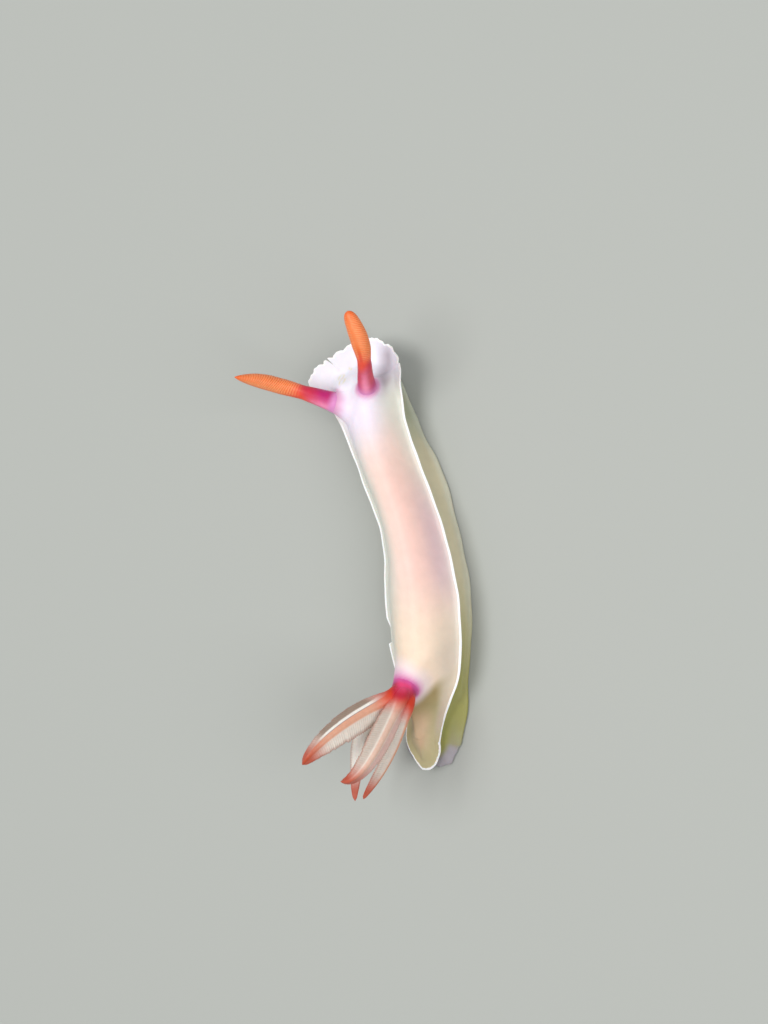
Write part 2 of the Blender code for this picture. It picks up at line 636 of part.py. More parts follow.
def finish(obj, look, collection):
    """Gives the object its material, puts it in the model's collection and shades it smooth."""
    colour, roughness = look
    material = bpy.data.materials.new(obj.name)
    material.use_nodes = True
    shader = material.node_tree.nodes["Principled BSDF"]
    shader.inputs["Base Color"].default_value = (*colour, 1)
    shader.inputs["Roughness"].default_value = roughness
    shader.inputs["Metallic"].default_value = 0
    obj.data.materials.clear()
    obj.data.materials.append(material)
    obj.location.x -= PLAN_CENTRE[0] * MM
    obj.location.y -= PLAN_CENTRE[1] * MM
    bpy.context.scene.collection.objects.unlink(obj)
    collection.objects.link(obj)
    if obj.type == "MESH":
        obj.data.shade_smooth()
        obj.data.set_sharp_from_angle(angle=math.radians(50))


def main():
    for old in list(bpy.data.objects):
        bpy.data.objects.remove(old)
    dorid = bpy.data.collections.new("lavender_dorid")
    bpy.context.scene.collection.children.link(dorid)

    for name, first, last in MANTLE_CUTS:
        length = mantle_length(name, first, last)
        if name == "mantle_hood":
            combined(length, [make_sheath(route) for route in (RHINOPHORE_LEFT, RHINOPHORE_RIGHT)], "UNION")
        if name == "mantle_rear":
            combined(length, [gill_pocket()], "UNION")
        finish(length, HOOD if name == "mantle_hood" else FLESH, dorid)
    for name, first, last in FOOT_CUTS:
        finish(foot_length(name, first, last), FOOT, dorid)

    finish(make_head(), FOOT, dorid)
    finish(make_tentacle("oral_tentacle_left", -1), FOOT, dorid)
    finish(make_tentacle("oral_tentacle_right", 1), FOOT, dorid)

    for side_name, route, across in (("left", RHINOPHORE_LEFT, CLUB_LEFT_ACROSS),
                                     ("right", RHINOPHORE_RIGHT, CLUB_RIGHT_ACROSS)):
        stalk, club = make_rhinophore(side_name, route, across)
        finish(stalk, MAGENTA, dorid)
        finish(club, ORANGE, dorid)

    finish(make_gill_stem(), CRIMSON, dorid)
    for number, (tip, middle, breadth, clock) in enumerate(GILL_BRANCHES, 1):
        finish(make_branch(number, tip, middle, breadth, clock), GILL, dorid)


main()
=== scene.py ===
"""The finish of a life-size museum model of a lavender split-tooth dorid, a sea slug.

One moist skin is laid over the mantle, the foot and the head. The rhinophores and the gill are made finer
than the solids that they stand for. Lengths are in millimetres; meshes and properties take them as metres.

A station says where a section lies. From 1 to 2 it runs down the spine, from the centre of the head to the
centre of the tail. From 0 to 1 the sections fan round the front of the hood, and from 2 to 3 round the tail.
"""

import math

import bmesh
import bpy
import numpy as np
from bpy.props import FloatProperty, FloatVectorProperty, IntProperty, PointerProperty
from mathutils import Matrix, Vector


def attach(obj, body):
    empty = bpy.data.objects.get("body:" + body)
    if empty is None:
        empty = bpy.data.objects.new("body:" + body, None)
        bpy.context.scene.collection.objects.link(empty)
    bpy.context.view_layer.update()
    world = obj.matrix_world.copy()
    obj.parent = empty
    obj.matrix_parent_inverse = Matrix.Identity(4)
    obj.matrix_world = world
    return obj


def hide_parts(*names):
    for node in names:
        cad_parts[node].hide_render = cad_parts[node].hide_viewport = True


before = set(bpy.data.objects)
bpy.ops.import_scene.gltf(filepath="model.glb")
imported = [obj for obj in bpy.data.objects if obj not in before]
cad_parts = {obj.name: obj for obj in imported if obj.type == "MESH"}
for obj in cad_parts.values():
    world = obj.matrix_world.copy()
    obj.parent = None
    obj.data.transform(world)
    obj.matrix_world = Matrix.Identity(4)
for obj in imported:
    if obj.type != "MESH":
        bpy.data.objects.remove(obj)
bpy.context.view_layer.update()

bl_info = {
    "name": "Lavender dorid model",
    "version": (1, 0, 0),
    "blender": (4, 5, 0),
    "location": "View3D > Sidebar > Dorid",
    "description": "Makes the skin, the rhinophores, the gill and the stage of a sea slug model",
    "category": "Object",
}

MM = 0.001
WELD = 1e-6
BODY = "root"
# The middle of the model in plan, which is the origin, as the spine below counts it.
PLAN_CENTRE = (0.234, -4.803)

# The spine in plan, from the centre of the head to the centre of the tail.
SPINE = [(-1, 12.6), (0.75, 8.6), (2.45, 4.4), (4, 1), (5.2, -2.6), (6.05, -6.6), (6.6, -10.8),
         (6.95, -15), (6.7, -19.2), (5.95, -23.2)]

# Sizes along the body, each as (station, size).
CREST_HEIGHT = [(0, 5.3), (1, 5.3), (1.08, 5.9), (1.2, 6.2), (1.45, 6.4), (1.65, 6.6), (1.8, 6.7),
                (1.88, 5.2), (1.95, 3.2), (2, 2.6), (3, 2.6)]
BRIM_RIGHT = [(0, 4.75), (0.17, 4.9), (0.42, 5.6), (0.7, 5.85), (0.85, 6), (1, 5.75), (1.05, 4.85),
              (1.09, 4.2), (1.14, 3.72), (1.31, 3.5), (1.43, 3.65), (1.52, 4), (1.62, 4.2), (1.73, 4.1),
              (1.8, 3.66), (1.84, 3.24), (1.88, 2.6), (1.92, 2.08), (2, 1.66), (2.2, 1.86), (2.35, 2.1),
              (2.5, 2.38), (2.68, 2.9), (2.86, 3.25), (3, 3.3)]
BRIM_LEFT = [(0, 4.75), (0.15, 4.8), (0.3, 5.15), (0.5, 5.9), (0.64, 6.1), (0.78, 5.3), (1, 3.8),
             (1.07, 3.5), (1.32, 3.5), (1.48, 3.75), (1.6, 4.4), (1.75, 4.3), (1.85, 3.6), (1.93, 2.85),
             (2, 2.4), (2.35, 2.42), (2.6, 2.5), (2.83, 2.85), (3, 3.3)]
BRIM_HEIGHT = [(0, 3.6), (1, 3.6), (1.1, 3.3), (1.3, 3.1), (1.7, 3.3), (1.85, 2.8), (1.95, 2),
               (2, 1.7), (3, 1.35)]
BRIM_WIDTH = [(0, 2.2), (0.6, 2.4), (0.9, 1.6), (1.05, 0.8), (1.15, 0.5), (2, 0.5), (3, 0.7)]
BRIM_FLARE = [(0, 0.4), (0.7, 0.5), (1, 0.4), (1.12, 0.12), (3, 0.1)]
FLANK_RADIUS = [(0, 2.5), (1, 2.5), (1.2, 2.7), (1.6, 3), (1.8, 2.7), (1.9, 1.55), (2, 1.1),
                (3, 2)]
FOOT_RADIUS = [(0, 3), (0.6, 3.2), (1, 3.4), (1.13, 3.5), (1.27, 4.1), (1.4, 3.85), (1.55, 4),
               (1.7, 3.75), (1.84, 2.95), (1.95, 2.9), (2, 2.9), (2.15, 3), (2.45, 3.28), (2.65, 3.12),
               (2.85, 2.8), (3, 2.6)]

# The mantle's dome, and its brim, which thins towards the rim.
DOME_FULLNESS = 2.7
DOME_EASE = 1.3
HOOD_EASE = 2.1
HUMP_SKEW = 0.1
BRIM_HALF = 0.25
RIM_HALF = 0.1
HOOD_END = 1.04
HOOD_FADE = 0.1
LOBES_LEFT = 6
LOBES_RIGHT = 5
FRILL_WAVES = 9
FRILL_HEIGHT = 0.08
FINE_WAVE = 0.045

# Runs of sections: first station, last station and count. The last two are finer, for the nicks' steep ends.
STATION_RUNS = [(0, 1, 111), (1, 2, 211), (2, 3, 45), (0.262, 0.302, 17), (1.715, 1.735, 11)]
# Points in each rounded corner of a section, from the rim to the middle of the sole.
CORNER_STEPS = [5, 4, 3, 3, 4, 4, 5, 7, 7, 6, 5, 5, 4, 3]
# Rows of a section counted from the rim on: the ends of the rim and of the brim's underside, and the face.
RIM_END = 12
BRIM_END = 20
FACE_ROWS = (22, 45)

# Small damage on the rim: side, depth, and the stations where it starts, is full, starts to end and ends.
NICKS = [(-1, 0.85, (0.264, 0.281, 0.283, 0.3)), (-1, 0.34, (1.65, 1.685, 1.721, 1.728)),
         (1, 0.24, (0.915, 0.95, 0.952, 0.972))]

# The long fold inside the hood's right rim: its place across and its two ends, in spine coordinates.
FOLD_ACROSS = 2.05
FOLD_SPREAD = 0.75
FOLD_ENDS = (11.2, 13.8, 16.4, 17.8)
FOLD_DEPTH = 0.42
FOLD_SHADE_ENDS = (11, 13.4, 16, 17.9)
RIM_LIFT = 0.45

# The foot and the head under the hood.
FOOT_WAIST_OUT = 0.25
FOOT_WAIST_UP = 0.35
FOOT_SHOULDER_WIDTH = 0.5
FOOT_SHOULDER_HEIGHT = 0.65
FOOT_EDGE_HEIGHT = 0.4
SOLE_INSET = 0.15
# The swelling of the foot's edge on the right, behind the gill: how far, and its station.
FOOT_SWELL = 0.48
FOOT_SWELL_STATION = 1.96
FOREFOOT_TOP = 0.7
HEAD_LENGTH = 6.6
HEAD_WIDTH = 4.4
HEAD_END = 1.16
HEAD_MIDDLE = 1.8
LIP_ANGLE = 9
LIP_SPREAD = 6
LIP_STAND = 0.42
MOUTH_SPREAD = 2.2
MOUTH_DEPTH = 0.5
TENTACLE_TURN = 52
TENTACLE_LENGTH = 1.4
TENTACLE_RADIUS = 0.42
TENTACLE_DROOP = 0.15

# Where the skin rises to what grows out of it: the reach of the rise, and how deep what grows out is sunk.
ROOT_REACH = 1.35
ROOT_SUNK = 1.3
# Heights along a root's axis between which the skin rises and is coloured, as ends of a plateau.
RISE_ENDS = (-4, -3.2, 1.6, 2.4)
ROOT_COLOUR_ENDS = (-4.5, -4, 2, 2.5)

# The rhinophores, each as the places that its middle line passes.
RHINOPHORE_LEFT = [(-2.9, 11.3, 5.1), (-5, 12.1, 6.6), (-7.4, 12.9, 8.1), (-9, 13.5, 10.2),
                   (-10.1, 13.7, 12.8)]
RHINOPHORE_RIGHT = [(1, 12.4, 5.1), (2, 13.7, 7.2), (3.1, 15.3, 9.4), (3.6, 17.4, 11.3),
                    (3.4, 19.75, 13)]
# Radii up the stalk by share of the whole, and each club's size from its neck (0) to its tip (1).
STALK_RADIUS = [(0, 1.12), (0.05, 1.02), (0.12, 0.93), (0.22, 0.83), (0.34, 0.75), (0.5, 0.71)]
SWELL_LEFT = [(0, 0.86), (0.12, 0.94), (0.3, 1.02), (0.5, 1), (0.68, 0.84), (0.82, 0.6),
              (0.93, 0.34), (1, 0.08)]
SWELL_RIGHT = [(0, 0.7), (0.16, 0.84), (0.34, 0.98), (0.52, 0.99), (0.76, 0.86), (0.9, 0.68), (0.97, 0.42),
               (1, 0.12)]
CLUB_WIDTH = 2
CLUB_DEPTH = 1.6
CLUB_SLANT = 26
# Ways that parts of a rhinophore's section face, in degrees round it.
# The rear is where the painted highlights of the stalk and the club lie.
FACES_REAR = 284
FACES_LIGHT = 250
FACES_AHEAD = 104
# Name, middle line, way across the broad face, share where the club starts, its sizes, the collar's height.
RHINOPHORES = [("left", RHINOPHORE_LEFT, (0.9, 0.1, 0.3), 0.3, SWELL_LEFT, 0.35),
               ("right", RHINOPHORE_RIGHT, (1, 0, 0), 0.47, SWELL_RIGHT, 0.75)]
# The share where a club halfway between the two would start, from which their colours are counted.
MIDDLE_CLUB_START = 0.385
# Rings for each lamella and for each leaflet, and points round a rhinophore and round the stem.
LAMELLA_RINGS = 9
LEAFLET_RINGS = 5
RHINOPHORE_SIDES = 72
STEM_SIDES = 120

# The gill: a stem on the rear of the hump, and six branches round its top.
GILL_BASE = (6.1, -17.4, 6)
GILL_HUB = (6.1, -18.6, 7.2)
STEM_RADIUS = [(0, 1.5), (0.2, 1.4), (0.42, 1.3), (0.62, 1.42), (0.8, 1.45), (1, 1.3)]
# Where each root leaves the skin: its first two places, the collar's radius and height, and how far the veil,
# the halo and the root colour reach past the collar.
ROOTS = [(RHINOPHORE_LEFT, 1, RHINOPHORES[0][-1], (1.3, 0.6, 0)),
         (RHINOPHORE_RIGHT, 1, RHINOPHORES[1][-1], (0.9, 0.4, 0)),
         ((GILL_BASE, GILL_HUB), 1.3, 0.5, (1.5, 0.65, 0.3))]
BRANCH_RING = 0.86
BRANCH_RADII = [(0, 0.7), (0.05, 0.76), (0.12, 0.7), (0.2, 0.54), (0.3, 0.47), (0.45, 0.44), (0.62, 0.41),
                (0.8, 0.33), (1, 0.12)]
# For each branch: its tip and the places that it passes, from the hub, its breadth over both wings, its
# root's clock angle, and the turn of its outer ridge, in degrees.
GILL_BRANCHES = [((-6.7, -6.3, 7.8), [(-1.8, -0.9, 2.9), (-4.4, -3.5, 6.6)], 3.3, 110, 32),
                 ((-3.6, -7.95, 5.7), [(0.4, -1.75, 2.5), (-0.6, -5.6, 5)], 2.5, 50, 16),
                 ((-4.96, -10.6, 0.6), [(-1.9, -1.95, 0.7), (-3.9, -4.2, 1.2), (-4.5, -7.3, 1)], 1.6, 295,
                  43),
                 ((-3, -10.05, 2.3), [(0.5, -2.75, 0.7), (-0.95, -6.8, 1.7)], 2.3, 350, 0),
                 ((-8.9, -5.5, 0.5), [(-5.1, -2.6, 1.1)], 2, 180, 0),
                 ((-5.2, -7.6, -3), [(-2.7, -3.7, -2)], 1.9, 235, 0)]
BRANCH_RISE = 1.5
BRANCH_SUNK = 1.3
BRANCH_INSET = 0.45
BRANCH_TAPER = 0.5
WING_ANGLE = 112
# Half of a branch's section: degrees from its outer ridge, and how far the leaflets push it out.
WING_OUTLINE = [(0, 0), (48, 0.02), (85, 0.24), (104, 0.82), (WING_ANGLE, 1), (120, 0.8), (140, 0.2),
                (180, 0)]
# Runs of points over half of that section: first and last degrees, and count.
SECTION_RUNS = [(0, 84, 15), (84, 140, 15), (140, 180, 5)]
# How far the wings have grown, by share of the branch, and the growth of the leading branch's upper wing.
WING_GROWTH = [(0, 0), (0.06, 0.24), (0.14, 0.62), (0.26, 0.92), (0.38, 1), (0.52, 0.92), (0.68, 0.7),
               (0.84, 0.42), (0.94, 0.2), (1, 0)]
UPPER_WING = 0.76
LEAFLETS_FROM = 0.06
LEAFLETS_TO = 0.97
LEAFLET_LEAN = 0.35

# The stage, in metres. The floor lies a little lower than the sole.
FLOOR_HALF = 1.5
FLOOR_LEVEL = -2e-5
KEY_PLACE = (-0.1, 0.05, 0.45)
FILL_PLACE = (0.35, -0.05, 0.3)
LIGHT_SIZE = 0.3

# Where each soft colour of the back lies, along the stations and across, from -1 at the left rim to 1 at the
# right one. Two numbers are the middle and the width of a bell curve, and four are the ends of a plateau.
BACK_MARKS = {
    "blush": ((1.05, 1.2, 1.78, 1.93), (-0.62, 0.08, 0.55, 0.97)),
    "pink": ((1.1, 1.36, 1.6, 1.8), (0.38, 0.42)),
    "mauve": ((1.25, 1.44, 1.55, 1.72), (0.76, 0.19)),
    "cream": ((1.52, 1.74, 1.86, 1.9), (-0.8, -0.3, 0.7, 1)),
    "neck": ((1.07, 0.1), (-1.1, -0.6, 0.25, 0.8)),
    "rear": ((1.6, 1.8, 1.93, 2.02), (0.45, 0.75, 2, 3)),
}
# Where the edge line is thinner, by side, and where it is missing on the left, as ends of a plateau.
LINE_THIN = {1: (1.92, 1.95, 1.98, 2.03), -1: (1.9, 2, 2.5, 2.95)}
LINE_GAPS = [(1.672, 1.682, 1.722, 1.726), (0.9, 0.97, 1.04, 1.1)]
# The fold behind the hump: its station on the crest, and how much less that is each millimetre to the right.
REAR_FOLD = 1.872
REAR_FOLD_SLANT = 0.029
# Faint rings on the hood: middle in plan, and radius.
RING_MARKS = [((-2.95, 13.95), 0.3), ((-2.3, 13.45), 0.33), ((-2.07, 14.85), 0.12)]

# Colours in the order in which they are laid, the ground first: sRGB hex, how strongly it covers what lies
# below it, and what it is.
SKIN_COLOURS = {
    "margin": ("#D6D6CB", 1, "Thin translucent flesh beside the edge line"),
    "blush": ("#EFD3C6", 0.95, "Peach of the organs that show through the back"),
    "pink": ("#F1C6BC", 0.7, "Warmer pink along the right of the back"),
    "mauve": ("#D2B2BE", 0.6, "Cool shade where the back turns down to the right"),
    "cream": ("#F0DBC2", 0.75, "Cream of the back before the gill"),
    "neck": ("#EEE4F5", 0.9, "Lavender white of the neck"),
    "flank": ("#CBC3A6", 1, "Beige cream of the body's side under the mantle"),
    # Partly painted: the grey green and the olive of the side are painted shade under the mantle and painted
    # green reflection, over the side's own cream.
    "front": ("#A9AF98", 0.8, "Grey green of the body's side behind the hood"),
    "olive": ("#9C9A58", 1, "Olive of the side towards the tail"),
    "foot_edge": ("#BFC2B4", 0.6, "Greenish grey of the foot's thin margin"),
    "tail_edge": ("#A79FBE", 0.65, "Lavender of the foot's rear end"),
    "tail": ("#BEB283", 0.9, "Olive cream of the mantle behind the gill"),
    "ridge": ("#DDBF9F", 0.9, "Paler cream along the middle of the tail"),
    "shade": ("#8C6C2A", 0.6, "Brown shade under the hump's rear fold"),
    "rear": ("#D3C4B4", 0.8, "Greyish cream of the mantle beside the rear fold"),
    "hood": ("#EFEEF8", 1, "Opaque white of the hood, with a trace of lavender"),
    "lips": ("#E9C0CB", 0.8, "Pink of the two lips, under the hood"),
    "mouth": ("#8E4A63", 0.8, "Dark line of the mouth, between the lips"),
    # Painted shade: mauve grey in the trough beside the hood's raised right rim.
    "fold": ("#8F8089", 0.7, "Mauve grey of the fold beside the hood's raised edge"),
    "ring": ("#E6DC9C", 0.6, "Pale yellow of the faint marks on the hood"),
    "veil": ("#F0DEF0", 0.7, "Pale lavender that spreads furthest round the roots"),
    "halo": ("#DC93BD", 0.95, "Orchid pink round the roots"),
    "root": ("#CC559C", 0.9, "Magenta at the roots of the rhinophores and the gill"),
    "line": ("#FFFFFF", 1, "Opaque white of the line round the mantle"),
}
RHINOPHORE_COLOURS = {
    "root": ("#BC2470", 1, "Magenta of the stalk's lower third"),
    "stalk": ("#CB2F4C", 1, "Crimson of the stalk's middle"),
    # Painted highlight: pale pink where the rear of the stalk's lower third faces the light.
    "pale": ("#FF9EC2", 0.85, "Pale pink along the rear of the stalk's lower third"),
    "base": ("#D98FC4", 0.95, "Orchid where the stalk leaves the skin"),
    "neck": ("#E85335", 0.9, "Red orange where the stalk meets the club"),
    "club": ("#EC6B26", 1, "Orange of the club"),
    "sheen": ("#FBA873", 0.4, "Paler salmon along the club's rear"),
    "ridge": ("#FBA873", 0.62, "Paler salmon of the lamella edges"),
    "tip": ("#E9662C", 0.5, "Orange of the tip"),
}
STEM_COLOURS = {
    "fork": ("#CE381C", 1, "Orange red where the branches start"),
    "crimson": ("#BE2040", 0.9, "Crimson of the stem"),
    # Partly painted highlight: the root's own hot pink reaches highest up the stem's middle, where the light
    # falls.
    "pink": ("#E6487E", 0.9, "Hot pink of the stem's root"),
    # Painted shade: purple where the stem's sides turn away from the light.
    "purple": ("#85247A", 0.7, "Purple of the stem's sides"),
    "base": ("#CF5A9C", 0.9, "Orchid where the stem leaves the skin"),
}
BRANCH_COLOURS = {
    "leaflet": ("#DDD2C7", 1, "Greyish cream of the leaflets' outer faces"),
    "inner": ("#FAF6EE", 0.8, "Bright white of the wings' inner faces"),
    # Painted shade: grey in the grooves between leaflets.
    "between": ("#A3968A", 0.3, "Grey in the grooves between leaflets"),
    "rachis": ("#D89A7C", 0.9, "Salmon of a branch's outer ridge"),
    "blush": ("#D9A79F", 0.7, "Pinkish mauve of the second branch's right wing"),
    "band": ("#FAF6EE", 0.95, "White stripe beside the leading branch's ridge"),
    # Painted shade: brown on the leading branch's upper wing, and on the second branch's left wing.
    "dull": ("#7C5F4A", 0.75, "Brown of the leading branch's upper wing"),
    "seam": ("#6B4560", 0.8, "Thin purple line beside the leading branch's ridge"),
    "edge": ("#B67F70", 0.55, "Pinkish brown of the wings' edges"),
    "tip": ("#B23F1C", 0.92, "Orange red of a branch's tip"),
    **STEM_COLOURS,
}


def linear(hex_colour):
    """Linear red, green and blue of a colour given as sRGB hex digits."""
    values = np.array([int(hex_colour[i:i + 2], 16) / 255 for i in (1, 3, 5)])
    return tuple(np.where(values <= 0.04045, values / 12.92, ((values + 0.055) / 1.055) ** 2.4))


def colour_property(name, hex_colour, description):
    return FloatVectorProperty(name=name, description=description, subtype="COLOR", size=3, min=0, max=1,
                               default=linear(hex_colour))


def colour_properties(table):
    """A property for each colour of a table, named by its key."""
    return {key: colour_property(key.replace("_", " ").capitalize(), hex_colour, description)
            for key, (hex_colour, _, description) in table.items()}


def number_property(name, value, description, **limits):
    return FloatProperty(name=name, description=description, default=value, **limits)


def size_property(name, size_mm, description):
    return number_property(name, size_mm * MM, description, min=0, unit="LENGTH", subtype="DISTANCE",
                           precision=5)


class DoridSkinSettings(bpy.types.PropertyGroup):
    """Sizes and colours of the skin."""

    edge_line: size_property("Edge line", 0.21, "Width of the opaque white line round the mantle")
    lobe_depth: size_property("Lobe depth", 0.2, "How far the hood's rim draws in between its lobes")
    mottle: size_property("Mottle", 1.1, "Width of one cloud in the translucent flesh")
    wrinkle: size_property("Wrinkle", 0.16, "Width of one fine wrinkle of the moist skin")
    __annotations__.update(colour_properties(SKIN_COLOURS))


class DoridRhinophoreSettings(bpy.types.PropertyGroup):
    """Sizes and colours of the two rhinophores."""

    lamellae: IntProperty(name="Lamellae", description="Slanting plates round each club", default=30, min=4,
                          max=60)
    groove: number_property("Groove", 0.94, "Share of the radius left between two lamellae", min=0.5, max=1)
    __annotations__.update(colour_properties(RHINOPHORE_COLOURS))


class DoridGillSettings(bpy.types.PropertyGroup):
    """Sizes and colours of the gill."""

    leaflets: IntProperty(name="Leaflets", description="Leaflets on each wing of a branch", default=46, min=6,
                          max=60)
    groove: number_property("Groove", 0.93, "Share of a leaflet left between two of them", min=0.2, max=1)
    __annotations__.update(colour_properties(BRANCH_COLOURS))


class DoridStageSettings(bpy.types.PropertyGroup):
    """The floor, the lights and the camera."""

    floor: colour_property("Floor", "#AEB1AC", "Plain pale floor")
    camera_tilt: number_property("Camera tilt", math.radians(30),
                                 "Lean of the view off the vertical, to the right", subtype="ANGLE")
    camera_distance: size_property("Camera distance", 220, "Distance of the camera from the floor's centre")
    frame_height: size_property("Frame height", 107.0, "Height of the picture at the camera's distance")
    key_power: number_property("Key light", 1.28, "Power of the large soft light in watts", min=0)
    fill_power: number_property("Fill light", 0.8, "Power of the weaker soft light in watts", min=0)
    sky: number_property("Sky", 0.45, "Brightness of the plain surroundings", min=0)


def curve_piece(t, step, ends, slopes):
    """The cubic between two values with the slopes given there, at shares t of the step between them."""
    values = ends[0] * (1 + 2 * t) * (1 - t) ** 2 + ends[1] * t * t * (3 - 2 * t)
    return values + step * (slopes[0] * t * (1 - t) ** 2 + slopes[1] * t * t * (t - 1))


def through(knots, at):
    """Smooth curve through (station, size) knots that never overshoots between two of them."""
    x, y = np.array(knots, float).T
    at = np.clip(np.asarray(at, float), x[0], x[-1])
    step = np.diff(x)
    slope = np.diff(y) / step
    at_knot = np.zeros_like(y)
    same = slope[:-1] * slope[1:] > 0
    before = (2 * step[1:] + step[:-1])[same]
    after = (step[1:] + 2 * step[:-1])[same]
    at_knot[1:-1][same] = (before + after) / (before / slope[:-1][same] + after / slope[1:][same])
    at_knot[0] = slope[0]
    at_knot[-1] = slope[-1]
    i = np.clip(np.searchsorted(x, at) - 1, 0, len(step) - 1)
    return curve_piece((at - x[i]) / step[i], step[i], (y[i], y[i + 1]), (at_knot[i], at_knot[i + 1]))


def along(points, share):
    """Places on the smooth curve through the points, at shares 0 to 1 of its length."""
    points = np.array(points, float)
    reach = np.concatenate([[0], np.cumsum(np.linalg.norm(np.diff(points, axis=0), axis=1))])
    reach /= reach[-1]
    slope = np.gradient(points, reach, axis=0)
    share = np.clip(np.asarray(share, float), 0, 1)
    i = np.clip(np.searchsorted(reach, share) - 1, 0, len(reach) - 2)
    step = (reach[i + 1] - reach[i])[..., None]
    t = (share - reach[i])[..., None] / step
    return curve_piece(t, step, (points[i], points[i + 1]), (slope[i], slope[i + 1]))


def unit(v):
    return v / np.linalg.norm(v, axis=-1, keepdims=True)


def direction(points, share, near=0.01):
    """Unit directions of the smooth curve through the points, at shares 0 to 1 of its length."""
    share = np.asarray(share, float)
    return unit(along(points, np.clip(share + near, 0, 1)) - along(points, np.clip(share - near, 0, 1)))


def eased(t):
    """A smooth step: 0 below 0, 1 above 1, and 3 t squared less 2 t cubed between them."""
    t = np.clip(t, 0, 1)
    return t * t * (3 - 2 * t)


def bell(x, width):
    """A bell curve: 1 at 0, falling as e to the minus (x over width) squared."""
    return np.exp(-(x / width) ** 2)


def plateau(x, start, full, leave, end):
    """A smooth step up from start to full, and a smooth step down from leave to end."""
    return eased((x - start) / (full - start)) * eased((end - x) / (end - leave))


def spread(at, ends):
    """A bell curve where ends are its middle and width, and a plateau where they are four places."""
    return bell(at - ends[0], ends[1]) if len(ends) == 2 else plateau(at, *ends)


def brim_radius(station, side):
    """The mantle's outline before its lobes, waves and nicks."""
    return through(BRIM_RIGHT if side > 0 else BRIM_LEFT, station)


def section_ways(station, side):
    """Centres of the sections, and the unit directions to the rim on one side (-1 left, 1 right)."""
    share = np.clip(station - 1, 0, 1)
    ahead = -direction(SPINE, share, 0.001)
    across = side * np.stack([ahead[..., 1], -ahead[..., 0]], -1)
    front = (np.clip(1 - station, 0, 1) * math.pi / 2)[..., None]
    rear = (np.clip(station - 2, 0, 1) * math.pi / 2)[..., None]
    return along(SPINE, share), unit(across * np.cos(front + rear) + ahead * (np.sin(front) - np.sin(rear)))


def steadied(station, x):
    """Stations for reading heights: a fan's sections all read the pole's own station at their centre."""
    pole = np.clip(station, 1, 2)
    return pole + (station - pole) * eased(x)


def rim_radius(station, side, settings):
    """The mantle's outline: the brim less the scallops between the hood's lobes and the nicks, with waves."""
    on_hood = np.clip((HOOD_END - station) / HOOD_FADE, 0, 1)
    lobes = LOBES_RIGHT if side > 0 else LOBES_LEFT
    uneven = 1 + 0.45 * np.sin(9.7 * station + 1.3 * side * eased(station / 0.1))
    scallops = 1 - np.abs(np.sin(math.pi * lobes * station ** 1.1)) ** 0.7
    drawn_in = on_hood * settings.lobe_depth / MM * uneven * scallops
    small = on_hood * np.sin(math.pi * 27 * station + side) * np.sin(math.pi * station)
    wavy = np.sin(31 * station + side) + 0.5 * np.sin(67 * station)
    waves = FINE_WAVE * (small + plateau(station, 1.1, 1.2, 1.9, 2.1) * wavy)
    nicks = sum(deep * plateau(station, *ends) for which, deep, ends in NICKS if which == side)
    return brim_radius(station, side) - drawn_in + waves - nicks


def brim_middle(station, side, r):
    """Height of the brim's middle sheet: the trough, then a lift that grows as the square of the way out."""
    brim = brim_radius(station, side)
    dome = brim - through(BRIM_WIDTH, station)
    read = steadied(station, r / brim)
    flare = through(BRIM_FLARE, read)
    out = np.clip((r - dome) / (brim - dome), 0, 1)
    on_hood = eased((HOOD_END - station) / HOOD_FADE)
    frill = FRILL_HEIGHT * on_hood * np.sin(math.pi * FRILL_WAVES * station / 2 + side) * out ** 2
    return through(BRIM_HEIGHT, read) - flare + flare * out ** 2 + frill * np.clip(station, 0, 1) ** 0.5


def top_rows(station, side, settings):
    """The mantle's upper side from the centre to the start of the rim, as distances and heights."""
    station = station[:, None]
    brim = brim_radius(station, side)
    dome = brim - through(BRIM_WIDTH, station)
    end = rim_radius(station, side, settings) - RIM_HALF
    dome_end = np.minimum(dome, end - 0.1)
    over_dome = np.linspace(0, 1, 40)
    over_brim = np.linspace(0, 1, 17)[1:] ** 0.8
    r = np.concatenate([dome_end * over_dome, dome_end + (end - dome_end) * over_brim], axis=1)
    x = r / brim
    read = steadied(station, x)
    low = brim_middle(station, side, r)
    crest = through(CREST_HEIGHT, read + HUMP_SKEW * np.maximum(side * x, -0.3))
    soft = eased((HOOD_END - station) / HOOD_FADE) + eased((station - 1.88) / 0.06)
    ease = DOME_EASE + (HOOD_EASE - DOME_EASE) * soft
    rise = np.clip(1 - np.clip(r / dome, 0, 1) ** DOME_FULLNESS, 0, 1) ** ease
    half = BRIM_HALF + (RIM_HALF - BRIM_HALF) * np.clip((r - dome) / (end - dome), 0, 1)
    return r, low + half + (crest - low - half) * rise


def head_reach(angle):
    """Distance of the head's surface from its centre in plan, an ellipse, at an angle from straight ahead."""
    return 0.5 / np.hypot(np.cos(angle) / HEAD_LENGTH, np.sin(angle) / HEAD_WIDTH)


def rounded(controls, steps):
    """Points of the quadratic B-spline with these control points, which rounds off every corner."""
    middles = (controls[:, :-1] + controls[:, 1:]) / 2
    middles[:, 0] = controls[:, 0]
    middles[:, -1] = controls[:, -1]
    pieces = []
    for i, count in enumerate(steps):
        t = (np.arange(1, count + 1) / count)[:, None]
        a, b, c = (p[:, None, :] for p in (middles[:, i], controls[:, i + 1], middles[:, i + 1]))
        pieces.append(a * (1 - t) ** 2 + 2 * b * t * (1 - t) + c * t ** 2)
    return np.concatenate(pieces, axis=1)


